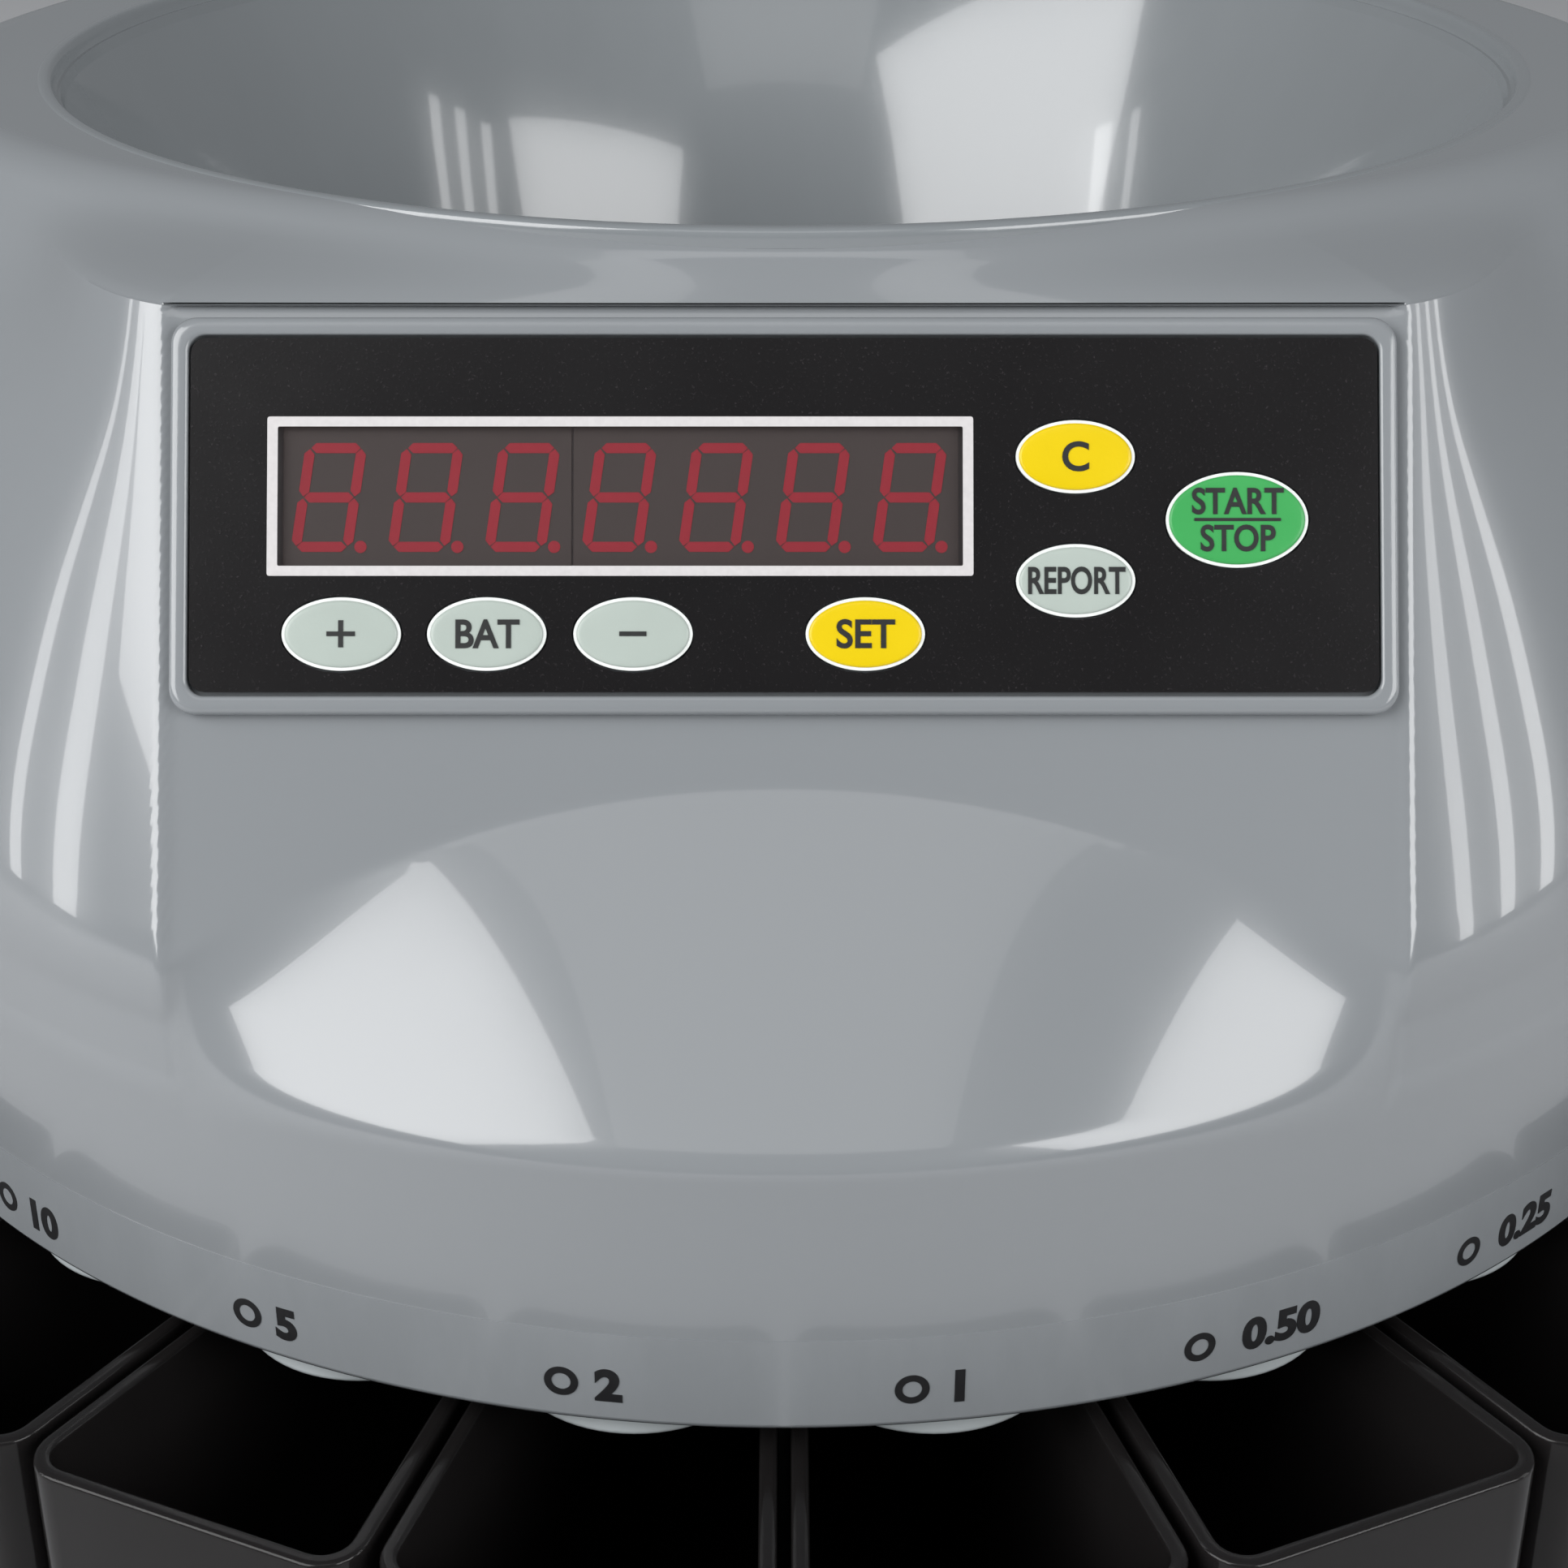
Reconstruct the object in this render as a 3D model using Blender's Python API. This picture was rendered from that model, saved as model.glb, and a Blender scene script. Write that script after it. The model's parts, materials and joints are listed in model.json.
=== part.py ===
"""Desktop coin counter: a hopper head on a round body, with eight pull-out coin cups.

Metres, +Z up, front at -Y. The machine's axis runs through the empty "machine_axis".
"""

import math

import bmesh
import bpy
from mathutils import Matrix, Vector

# Clearances
GAP = 0.0003
CUP_GAP = 0.0018
BAY_GAP = 0.0030

# Overall sizes
SKIRT_RADIUS = 0.165
SKIRT_BOTTOM = 0.122
CREASE_RISE = 0.041
HOPPER_RISE = 0.140
LIP_RISE = 0.0012
SHELL_WALL = 0.003
ROUND_STEPS = 72

# Head outline: share of the way from the crease to the hopper edge, then how far the side and the
# front stand in from the skirt, and how far back the outline is widest.
HEAD_LEVELS = (
    (0.160, 0.003, 0.002, 0.000),
    (0.434, 0.007, 0.016, 0.005),
    (0.700, 0.011, 0.0365, 0.013),
    (0.930, 0.016, 0.0635, 0.023),
    (1.000, 0.019, 0.066, 0.026),
)

# Console: a flat, tilted facet above an arched slope
CONSOLE_TILT = math.radians(61.9)
CONSOLE_SETBACK = 0.0505
CONSOLE_RISE = 0.1086
CONSOLE_WIDTH = 0.161
CONSOLE_TOP_RISE = 0.133
ARCH_RADIUS = 0.150
ARCH_DROP = 0.0354
PLATE_SIZE = (0.1592, 0.0517)
PLATE_THICK = 0.0020
POCKET_DEPTH = 0.0009
OVERLAY_SIZE = (0.1538, 0.0460)
OVERLAY_THICK = 0.0004
PANEL_OPENING = (0.140, 0.0424)
WINDOW_SIZE = (0.0912, 0.0205)
WINDOW_PLACE = (-0.0212, 0.0024)
WINDOW_THICK = 0.0010
DIGIT_PITCH = 0.01257
MODULE_DIGITS = {"led_module_left": 3, "led_module_right": 4}
MODULE_HEIGHT = 0.0190
MODULE_DEPTH = 0.0080
BOARD_THICK = 0.0016
KEY_PROUD = 0.0004
KEY_STEM = 0.0020
SMALL_KEY = (0.0077, 0.00475)
LARGE_KEY = (0.0092, 0.0062)
KEYS = {
    "key_plus": (-0.0572, -0.0155, SMALL_KEY),
    "key_batch": (-0.0384, -0.0155, SMALL_KEY),
    "key_minus": (-0.0195, -0.0155, SMALL_KEY),
    "key_set": (0.0105, -0.0155, SMALL_KEY),
    "key_clear": (0.0377, 0.0075, SMALL_KEY),
    "key_report": (0.0377, -0.0086, SMALL_KEY),
    "key_start": (0.0586, -0.0007, LARGE_KEY),
}

# Denomination strip let into the skirt
STRIP_HEIGHT = 0.0140
STRIP_THICK = 0.0009
STRIP_HALF_ANGLE = math.radians(75)

# Hopper and sorting disc, on an axis behind the machine's axis
HOPPER_SETBACK = 0.026
HOPPER_RADIUS = 0.116
HOPPER_WALL = 0.0022
HOPPER_LIP = 0.0060
HOPPER_FLARE = 1.8
NECK_RADIUS = 0.088
COIN_SLIT = 0.0045
DISC_RADIUS = 0.095
DISC_THICK = 0.005
SHAFT_RADIUS = 0.004
BEARING_RADIUS = 0.011
BEARING_HEIGHT = 0.007

# Deck that carries the coin track, and the chutes below it
DECK_RISE = 0.028
DECK_THICK = 0.003
FENCE_HEIGHT = 0.007
FENCE_WALL = 0.0026
CHUTE_EDGE_INSET = 0.0041
CHUTE_WALL = 0.002
CHUTE_DROP = 0.0035

# Body, base and cups
FOOT_HEIGHT = 0.005
FOOT_RADIUS = 0.011
BASE_HEIGHT = 0.013
BASE_WALL = 0.003
BASE_OVERHANG = 0.007
BODY_INSET = 0.007
BODY_WALL = 0.0025
CORE_RADIUS = 0.084
REAR_FLAT_DEPTH = 0.008
CUP_COUNT = 8
CUP_PITCH = math.radians(16)
CUP_REACH = 0.028
CUP_WALL = 0.0024
CUP_HEADROOM = 0.005

# Drive
BELT_SPAN = 0.080
DRIVE_PULLEY_RADIUS = 0.036
MOTOR_PULLEY_RADIUS = 0.012
PULLEY_HEIGHT = 0.010
FLANGE_WIDTH = 0.003
FLANGE_THICK = 0.0017
BELT_THICK = 0.0017
MOTOR_RADIUS = 0.022
MOTOR_LENGTH = 0.055
BRACKET_WIDTH = 0.072
BRACKET_DEPTH = 0.052
BRACKET_SHEET = 0.002

# Small parts
SCREW_ANGLES = tuple(math.radians(angle) for angle in (120, 240))
SCREW_RADIUS = 0.0015
SCREW_LENGTH = 0.012
SCREW_HEAD = 0.0035
ROCKER_TILT = 9
TRANSFORMER_SIZE = (0.056, 0.048, 0.046)
MAIN_BOARD_SIZE = (0.080, 0.070)
MAIN_BOARD_RISE = 0.022
SENSOR_SIZE = (0.014, 0.018, 0.009)

# Heights and radii that follow
CUP_RADIUS = SKIRT_RADIUS + CUP_REACH
BASE_RADIUS = SKIRT_RADIUS + BASE_OVERHANG
HEAD_TOP = SKIRT_BOTTOM + HOPPER_RISE + LIP_RISE
BASE_BOTTOM = FOOT_HEIGHT + GAP
BASE_TOP = BASE_BOTTOM + BASE_HEIGHT
FLOOR = BASE_TOP + GAP
CONSOLE_CENTRE = Vector((0, CONSOLE_SETBACK - SKIRT_RADIUS, SKIRT_BOTTOM + CONSOLE_RISE))
DECK_BOTTOM = SKIRT_BOTTOM + DECK_RISE
DECK_TOP = DECK_BOTTOM + DECK_THICK
DECK_RADIUS = SKIRT_RADIUS - SHELL_WALL - GAP
BODY_RADIUS = SKIRT_RADIUS - BODY_INSET
REAR_FLAT = BODY_RADIUS - REAR_FLAT_DEPTH
BODY_HALF_ANGLE = CUP_COUNT * CUP_PITCH / 2 + BAY_GAP / CORE_RADIUS
CHUTE_CENTRE = (SKIRT_RADIUS - CHUTE_EDGE_INSET + CUP_GAP / 2) / (1 + math.sin(CUP_PITCH / 2))
CHUTE_RADIUS = CHUTE_CENTRE * math.sin(CUP_PITCH / 2) - CUP_GAP / 2
CHUTE_HOLE = CHUTE_RADIUS - CHUTE_WALL
DISC_BOTTOM = DECK_TOP + 0.002
DISC_TOP = DISC_BOTTOM + DISC_THICK
NECK_BOTTOM = DISC_TOP + COIN_SLIT
BEARING_TOP = DECK_BOTTOM
HOUSING_BOTTOM = DECK_BOTTOM - 0.012
PULLEY_TOP = HOUSING_BOTTOM - 0.002
PULLEY_BOTTOM = PULLEY_TOP - PULLEY_HEIGHT
BRACKET_BOTTOM = PULLEY_BOTTOM - 0.008
MOTOR_Y = HOPPER_SETBACK + BELT_SPAN


def clear_scene():
    for item in list(bpy.data.objects):
        bpy.data.objects.remove(item)


def material(name, colour, roughness, metallic=0.0, alpha=1.0):
    made = bpy.data.materials.new(name)
    made.use_nodes = True
    shader = made.node_tree.nodes["Principled BSDF"]
    shader.inputs["Base Color"].default_value = (*colour, 1)
    shader.inputs["Roughness"].default_value = roughness
    shader.inputs["Metallic"].default_value = metallic
    shader.inputs["Alpha"].default_value = alpha
    return made


def direction(angle):
    """The way out from the axis at an angle from the front, counted towards +X."""
    return Vector((math.sin(angle), -math.cos(angle), 0))


def circle(radius, height, steps=ROUND_STEPS):
    ways = [direction(2 * math.pi * step / steps) for step in range(steps)]
    return [Vector((way.x * radius, way.y * radius, height)) for way in ways]


def head_ring(side, front, rear, setback, height):
    """Two half ellipses that meet at the sides, given by how far each reaches from the axis."""
    points = []
    for way in circle(1, height):
        reach = front + setback if way.y < 0 else rear - setback
        points.append(Vector((way.x * side, way.y * reach + setback, height)))
    return points


def at_height(outline, height):
    return [Vector((point[0], point[1], height)) for point in outline]


def rounded(corners, radius, steps=4):
    """The outline through these corners, counterclockwise, with each one rounded."""
    points = []
    for index, corner in enumerate(corners):
        here = Vector(corner)
        before = (Vector(corners[index - 1]) - here).normalized()
        after = (Vector(corners[(index + 1) % len(corners)]) - here).normalized()
        half = before.angle(after) / 2
        centre = here + (before + after).normalized() * radius / math.sin(half)
        start = here + before * radius / math.tan(half) - centre
        turn = math.pi - 2 * half
        for step in range(steps + 1):
            angle = turn * step / steps
            swung = (
                start.x * math.cos(angle) - start.y * math.sin(angle),
                start.x * math.sin(angle) + start.y * math.cos(angle),
            )
            points.append(centre + Vector(swung))
    return points


def rectangle(width, depth, radius, centre=(0, 0), steps=4):
    x, y = width / 2, depth / 2
    corners = [(-x, -y), (x, -y), (x, y), (-x, y)]
    return rounded([(px + centre[0], py + centre[1]) for px, py in corners], radius, steps)


def ellipse(half_width, half_height, centre=(0, 0), steps=20):
    angles = [2 * math.pi * step / steps for step in range(steps)]
    return [
        (centre[0] + half_width * math.cos(angle), centre[1] + half_height * math.sin(angle))
        for angle in angles
    ]


def add(name, mesh, finish, parent, location=(0, 0, 0), turn=0.0):
    made = bpy.data.objects.new(name, mesh)
    bpy.context.scene.collection.objects.link(made)
    made.parent = parent
    made.location = location
    made.rotation_euler.z = turn
    if finish:
        mesh.materials.append(finish)
    return made


def stack(name, rings, finish=None, parent=None, closed=False, **place):
    """A body through rings of points. Its two ends are capped, or joined to each other where closed."""
    shape = bmesh.new()
    layers = [[shape.verts.new(point) for point in ring] for ring in rings]
    pairs = list(zip(layers, layers[1:]))
    if closed:
        pairs.append((layers[-1], layers[0]))
    for lower, upper in pairs:
        for index in range(len(lower)):
            after = (index + 1) % len(lower)
            shape.faces.new((lower[index], lower[after], upper[after], upper[index]))
    if not closed:
        shape.faces.new(reversed(layers[0]))
        shape.faces.new(layers[-1])
    bmesh.ops.recalc_face_normals(shape, faces=shape.faces)
    mesh = bpy.data.meshes.new(name)
    shape.to_mesh(mesh)
    shape.free()
    mesh.shade_smooth()
    mesh.set_sharp_from_angle(angle=math.radians(35))
    return add(name, mesh, finish, parent, **place)


def prism(name, outline, bottom, top, finish=None, parent=None, **place):
    rings = [at_height(outline, bottom), at_height(outline, top)]
    return stack(name, rings, finish, parent, **place)


def turned(name, profile, finish=None, parent=None, closed=False, steps=32, **place):
    """A round body from (radius, height) pairs."""
    rings = [circle(radius, height, steps) for radius, height in profile]
    return stack(name, rings, finish, parent, closed, **place)


def tube(name, inner, outer, bottom, top, finish, parent, steps=32, **place):
    profile = [(outer, bottom), (outer, top), (inner, top), (inner, bottom)]
    return turned(name, profile, finish, parent, closed=True, steps=steps, **place)


def shape_with(target, tool, operation="DIFFERENCE"):
    """Cuts the tool from the target, or joins it on."""
    tool.parent = target.parent
    tool.hide_render = True
    tool.display_type = "WIRE"
    change = target.modifiers.new(tool.name, "BOOLEAN")
    change.operation = operation
    change.solver = "EXACT"
    change.object = tool


def head_drum(name, inset, bottom, finish, parent):
    """The head without its console: round at the skirt, leaning back and narrowing to the hopper."""
    crease = SKIRT_BOTTOM + CREASE_RISE
    radius = SKIRT_RADIUS - inset
    rings = [circle(radius, bottom), circle(radius, crease)]
    for share, side, front, setback in HEAD_LEVELS:
        height = crease + share * (HOPPER_RISE - CREASE_RISE - inset)
        reach = (radius - side, radius - front, radius - side / 2)
        rings.append(head_ring(*reach, setback, height))
    top = [edge - LIP_RISE for edge in reach]
    rings.append(head_ring(*top, setback, HEAD_TOP - inset))
    return stack(name, rings, finish, parent)


def console_point(x, y, height):
    """A point given on the console's facet, as one in the head."""
    return CONSOLE_CENTRE + Matrix.Rotation(CONSOLE_TILT, 3, "X") @ Vector((x, y, height))


def console_block(name, inset, parent):
    width = CONSOLE_WIDTH - 2 * inset
    depth = SKIRT_RADIUS - SKIRT_RADIUS / 3
    outline = rectangle(width, depth, 0.004, (0, -(SKIRT_RADIUS + SKIRT_RADIUS / 3) / 2))
    top = SKIRT_BOTTOM + CONSOLE_TOP_RISE - inset
    return prism(name, outline, SKIRT_BOTTOM + CREASE_RISE + 0.004, top, None, parent)


def console_cutter(name, inset, parent):
    """Takes away what stands in front of the facet and of the slope between its arch and the crease."""
    half = CONSOLE_WIDTH / 2 + 0.0005 + inset
    steps = 16
    front = -1.5 * SKIRT_RADIUS
    top_y = (CONSOLE_TOP_RISE + GAP - CONSOLE_RISE) / math.sin(CONSOLE_TILT)
    crease = SKIRT_BOTTOM + CREASE_RISE - 0.4 * inset
    rings = []
    for step in range(steps + 1):
        x = half * (2 * step / steps - 1)
        arch = math.sqrt(ARCH_RADIUS**2 - x**2) - ARCH_RADIUS - ARCH_DROP
        upper = console_point(x, top_y, -inset)
        middle = console_point(x, arch, -inset)
        lower = Vector((x, -math.sqrt((SKIRT_RADIUS + 0.0002 - inset) ** 2 - x**2), crease))
        below = Vector((x, front, crease))
        above = Vector((x, front, upper.z))
        rings.append([upper, middle, lower, below, above])
    return stack(name, rings, None, parent)


def arc_band(inner, outer, half_angle, steps):
    """The outline of a curved band across the front."""
    angles = [half_angle * (2 * step / steps - 1) for step in range(steps + 1)]
    return [direction(a) * outer for a in angles] + [direction(a) * inner for a in reversed(angles)]


def strip_outline(clearance):
    outer = SKIRT_RADIUS - 0.0001
    inner = outer - STRIP_THICK
    if clearance:
        outer += 0.001
    return arc_band(inner - clearance, outer, STRIP_HALF_ANGLE + clearance / SKIRT_RADIUS, 30)


def upper_shell(finish, axis):
    shell = head_drum("upper_shell", 0, SKIRT_BOTTOM, finish, axis)
    shape_with(shell, console_block("block_tool", 0, axis), "UNION")
    shape_with(shell, console_cutter("console_tool", 0, axis))
    cavity = head_drum("cavity_tool", SHELL_WALL, SKIRT_BOTTOM - 0.002, None, axis)
    shape_with(cavity, console_block("cavity_block_tool", SHELL_WALL, axis), "UNION")
    shape_with(cavity, console_cutter("cavity_console_tool", SHELL_WALL, axis))
    shape_with(shell, cavity)
    opening = HOPPER_RADIUS + HOPPER_WALL + GAP
    mouth = turned(
        "mouth_tool",
        [(opening, DECK_TOP), (opening, HEAD_TOP + 0.01)],
        steps=ROUND_STEPS,
        location=(0, HOPPER_SETBACK, 0),
    )
    shape_with(shell, mouth)
    recess = prism("recess_tool", strip_outline(GAP), SKIRT_BOTTOM - 0.001, strip_top() + GAP)
    shape_with(shell, recess)
    panel = rectangle(*PANEL_OPENING, 0.003)
    window = [console_ring(panel, -2 * SHELL_WALL), console_ring(panel, 0.004)]
    shape_with(shell, stack("panel_tool", window))
    for index, angle in enumerate(SCREW_ANGLES, 1):
        shape_with(shell, screw_hole(f"shell_hole_tool_{index}", angle))


def console_ring(outline, height):
    return [console_point(point[0], point[1], height) for point in outline]


def strip_top():
    return SKIRT_BOTTOM + STRIP_HEIGHT


def denomination_strip(finish, axis):
    bottom = SKIRT_BOTTOM + GAP
    prism("denomination_strip", strip_outline(0), bottom, strip_top(), finish, axis)


def radial(angle, radius, height):
    """Turns a shape's +Z to point out from the axis at this angle, and places it there."""
    turn = Matrix.Rotation(angle, 4, "Z") @ Matrix.Rotation(math.radians(90), 4, "X")
    return Matrix.Translation(direction(angle) * radius + Vector((0, 0, height))) @ turn


def screw_hole(name, angle):
    radius = SCREW_RADIUS + GAP
    length = SCREW_LENGTH + 0.002
    hole = turned(name, [(radius, -length), (radius, 0.01)], steps=16)
    hole.matrix_local = radial(angle, SKIRT_RADIUS, screw_height())
    return hole


def screw_height():
    return DECK_BOTTOM + DECK_THICK / 2


def shell_screws(finish, axis):
    for index, angle in enumerate(SCREW_ANGLES, 1):
        head = SCREW_HEAD
        profile = [
            (SCREW_RADIUS, -SCREW_LENGTH),
            (SCREW_RADIUS, GAP),
            (head, GAP),
            (head, 0.0012),
            (head * 0.6, 0.0020),
        ]
        screw = turned(f"shell_screw_{index}", profile, finish, axis, steps=16)
        screw.matrix_local = radial(angle, SKIRT_RADIUS, screw_height())


def hopper_bowl(finish, axis):
    """A funnel that hangs by its lip in the shell's mouth and ends just above the disc."""
    inner = []
    steps = 5
    drop = HEAD_TOP - NECK_BOTTOM
    for step in range(steps + 1):
        share = step / steps
        radius = NECK_RADIUS + (HOPPER_RADIUS - NECK_RADIUS) * share**HOPPER_FLARE
        inner.append((radius, NECK_BOTTOM + drop * share))
    outer = [(radius + HOPPER_WALL, height) for radius, height in inner]
    outer[-1] = (HOPPER_RADIUS + HOPPER_WALL, HEAD_TOP + GAP)
    lip_radius = HOPPER_RADIUS + HOPPER_LIP
    lip = [
        (lip_radius, HEAD_TOP + GAP),
        (lip_radius, HEAD_TOP + 0.0012),
        (lip_radius - 0.0010, HEAD_TOP + 0.0022),
        (HOPPER_RADIUS + 0.0012, HEAD_TOP + 0.0022),
    ]
    profile = outer + lip + inner[::-1]
    place = (0, HOPPER_SETBACK, 0)
    turned("hopper_bowl", profile, finish, axis, True, ROUND_STEPS, location=place)


def sorting_disc(rotor, finish):
    bore = SHAFT_RADIUS + GAP
    tube("sorting_disc", bore, DISC_RADIUS, DISC_BOTTOM, DISC_TOP, finish, rotor, 48)


def disc_cap(rotor, finish):
    base = DISC_TOP + GAP
    radius = 0.016
    steps = 5
    dome = [
        (radius * math.cos(math.pi / 2 * step / steps), 0.010 * math.sin(math.pi / 2 * step / steps))
        for step in range(steps)
    ]
    profile = [(radius, base)] + [(r, base + 0.004 + h) for r, h in dome]
    turned("disc_cap", profile, finish, rotor, steps=32)


def disc_shaft(rotor, finish):
    turned(
        "disc_shaft",
        [(SHAFT_RADIUS, PULLEY_BOTTOM - 0.002), (SHAFT_RADIUS, DISC_TOP)],
        finish,
        rotor,
        steps=24,
    )


def pulley_profile(radius):
    """The outer side of a flanged pulley, from the bottom up."""
    flange = radius + FLANGE_WIDTH
    return [
        (flange, PULLEY_BOTTOM),
        (flange, PULLEY_BOTTOM + FLANGE_THICK),
        (radius, PULLEY_BOTTOM + FLANGE_THICK),
        (radius, PULLEY_TOP - FLANGE_THICK),
        (flange, PULLEY_TOP - FLANGE_THICK),
        (flange, PULLEY_TOP),
    ]


def drive_pulley(rotor, finish):
    bore = SHAFT_RADIUS + GAP
    profile = pulley_profile(DRIVE_PULLEY_RADIUS) + [(bore, PULLEY_TOP), (bore, PULLEY_BOTTOM)]
    turned("drive_pulley", profile, finish, rotor, closed=True)


def motor_pulley(motor_axis, finish):
    """The small pulley with the motor's shaft below it."""
    shaft = [(SHAFT_RADIUS, BRACKET_BOTTOM + GAP), (SHAFT_RADIUS, PULLEY_BOTTOM)]
    turned("motor_pulley", shaft + pulley_profile(MOTOR_PULLEY_RADIUS), finish, motor_axis, steps=32)


def belt_outline(extra):
    """The loop round both pulleys, this far out from their grooves at the middle of each short side."""
    big = DRIVE_PULLEY_RADIUS + extra
    small = MOTOR_PULLEY_RADIUS + extra
    lean = math.asin((big - small) / BELT_SPAN)
    steps = 16
    points = []
    for radius, centre, start, sweep in (
        (big, HOPPER_SETBACK, math.pi - lean, math.pi + 2 * lean),
        (small, MOTOR_Y, lean, math.pi - 2 * lean),
    ):
        corner = radius / math.cos(sweep / steps / 2)
        for step in range(steps + 1):
            angle = start + sweep * step / steps
            points.append((corner * math.cos(angle), centre + corner * math.sin(angle)))
    return points


def drive_belt(finish, axis):
    bottom = PULLEY_BOTTOM + FLANGE_THICK + GAP
    top = PULLEY_TOP - FLANGE_THICK - GAP
    inner = belt_outline(GAP)
    outer = belt_outline(GAP + BELT_THICK)
    rings = [
        at_height(outer, bottom),
        at_height(outer, top),
        at_height(inner, top),
        at_height(inner, bottom),
    ]
    stack("drive_belt", rings, finish, axis, closed=True)


def bearing_and_housing(steel, plastic, axis):
    place = (0, HOPPER_SETBACK, 0)
    bearing_bottom = BEARING_TOP - BEARING_HEIGHT
    inner = SHAFT_RADIUS + GAP
    tube("shaft_bearing", inner, BEARING_RADIUS, bearing_bottom, BEARING_TOP, steel, axis, 32, location=place)
    pocket = BEARING_RADIUS + GAP
    profile = [
        (pocket + 0.004, HOUSING_BOTTOM),
        (pocket + 0.004, DECK_BOTTOM - 0.003),
        (pocket + 0.012, DECK_BOTTOM - 0.003),
        (pocket + 0.012, DECK_BOTTOM - GAP),
        (pocket, DECK_BOTTOM - GAP),
        (pocket, bearing_bottom - GAP),
        (inner + 0.002, bearing_bottom - GAP),
        (inner + 0.002, HOUSING_BOTTOM),
    ]
    turned("bearing_housing", profile, plastic, axis, closed=True, location=place)


def motor_and_bracket(motor_finish, bracket_finish, axis):
    top = BRACKET_BOTTOM - BRACKET_SHEET - GAP
    profile = [
        (MOTOR_RADIUS - 0.002, top - MOTOR_LENGTH),
        (MOTOR_RADIUS, top - MOTOR_LENGTH + 0.002),
        (MOTOR_RADIUS, top - 0.014),
        (MOTOR_RADIUS + 0.003, top - 0.014),
        (MOTOR_RADIUS + 0.003, top),
    ]
    turned("gear_motor", profile, motor_finish, axis, steps=28, location=(0, MOTOR_Y, 0))
    x = BRACKET_WIDTH / 2
    low = BRACKET_BOTTOM - BRACKET_SHEET
    high = DECK_BOTTOM - GAP
    inner = x - BRACKET_SHEET
    section = [
        (-x, low),
        (x, low),
        (x, high),
        (inner, high),
        (inner, BRACKET_BOTTOM),
        (-inner, BRACKET_BOTTOM),
        (-inner, high),
        (-x, high),
    ]
    ends = (MOTOR_Y - BRACKET_DEPTH / 2, MOTOR_Y + BRACKET_DEPTH / 2)
    rings = [[Vector((px, y, pz)) for px, pz in section] for y in ends]
    bracket = stack("motor_bracket", rings, bracket_finish, axis)
    radius = SHAFT_RADIUS + 0.002
    hole = turned(
        "bracket_hole_tool",
        [(radius, low - 0.01), (radius, BRACKET_BOTTOM + 0.003)],
        steps=24,
        location=(0, MOTOR_Y, 0),
    )
    shape_with(bracket, hole)


def chute_angles():
    return [(index - (CUP_COUNT - 1) / 2) * CUP_PITCH for index in range(CUP_COUNT)]


def sorting_deck(finish, axis):
    deck = turned(
        "sorting_deck",
        [(DECK_RADIUS, DECK_BOTTOM), (DECK_RADIUS, DECK_TOP)],
        finish,
        axis,
        steps=ROUND_STEPS,
    )
    tools = [("deck_centre_tool", Vector((0, HOPPER_SETBACK, 0)), BEARING_RADIUS + 0.002, 32)]
    for index, angle in enumerate(chute_angles(), 1):
        tools.append((f"deck_hole_tool_{index}", direction(angle) * CHUTE_CENTRE, CHUTE_HOLE, 20))
    for name, place, radius, steps in tools:
        profile = [(radius, DECK_BOTTOM - 0.002), (radius, DECK_TOP + 0.002)]
        shape_with(deck, turned(name, profile, steps=steps, location=place))
    for index, angle in enumerate(SCREW_ANGLES, 1):
        shape_with(deck, screw_hole(f"deck_screw_tool_{index}", angle))


def coin_fence(finish, axis):
    outer = DECK_RADIUS - GAP
    bottom = DECK_TOP + GAP
    inner = outer - FENCE_WALL
    tube("coin_fence", inner, outer, bottom, bottom + FENCE_HEIGHT, finish, axis, ROUND_STEPS)


def coin_chutes(finish, axis):
    """Each chute's neck stands in a hole of the deck, and its wide mouth hangs below the skirt."""
    neck = CHUTE_HOLE - GAP
    mouth = SKIRT_BOTTOM - CHUTE_DROP
    shoulder = DECK_BOTTOM - GAP
    profile = [
        (CHUTE_RADIUS - 0.001, mouth),
        (CHUTE_RADIUS, mouth + 0.001),
        (CHUTE_RADIUS, shoulder),
        (neck, shoulder),
        (neck, DECK_TOP - GAP),
        (neck - CHUTE_WALL, DECK_TOP - GAP),
        (neck - CHUTE_WALL, shoulder - 0.004),
        (CHUTE_RADIUS - CHUTE_WALL, shoulder - 0.010),
        (CHUTE_RADIUS - CHUTE_WALL, mouth),
    ]
    for index, angle in enumerate(chute_angles(), 1):
        place = direction(angle) * CHUTE_CENTRE
        turned(f"coin_chute_{index}", profile, finish, axis, closed=True, steps=20, location=place)


def cup_outline(inset):
    """A cup from above, pointing along +X from the machine's axis, this far in from its outer side."""
    slope = math.tan(CUP_PITCH / 2)
    side = (CUP_GAP / 2 + inset) / math.cos(CUP_PITCH / 2)
    near = CORE_RADIUS + CUP_GAP + 0.002 + inset
    far = CUP_RADIUS - inset
    corners = [
        (near, -(near * slope - side)),
        (far, -(far * slope - side)),
        (far, far * slope - side),
        (near, near * slope - side),
    ]
    return rounded(corners, 0.0045 - inset, 3)


def coin_cups(finish, axis):
    top = SKIRT_BOTTOM - CUP_HEADROOM
    rings = [
        at_height(cup_outline(0.001), FLOOR),
        at_height(cup_outline(0), FLOOR + 0.001),
        at_height(cup_outline(0), top),
        at_height(cup_outline(CUP_WALL), top),
        at_height(cup_outline(CUP_WALL), FLOOR + CUP_WALL),
    ]
    for index, angle in enumerate(chute_angles(), 1):
        stack(f"coin_cup_{index}", rings, finish, axis, turn=angle - math.pi / 2)


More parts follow.
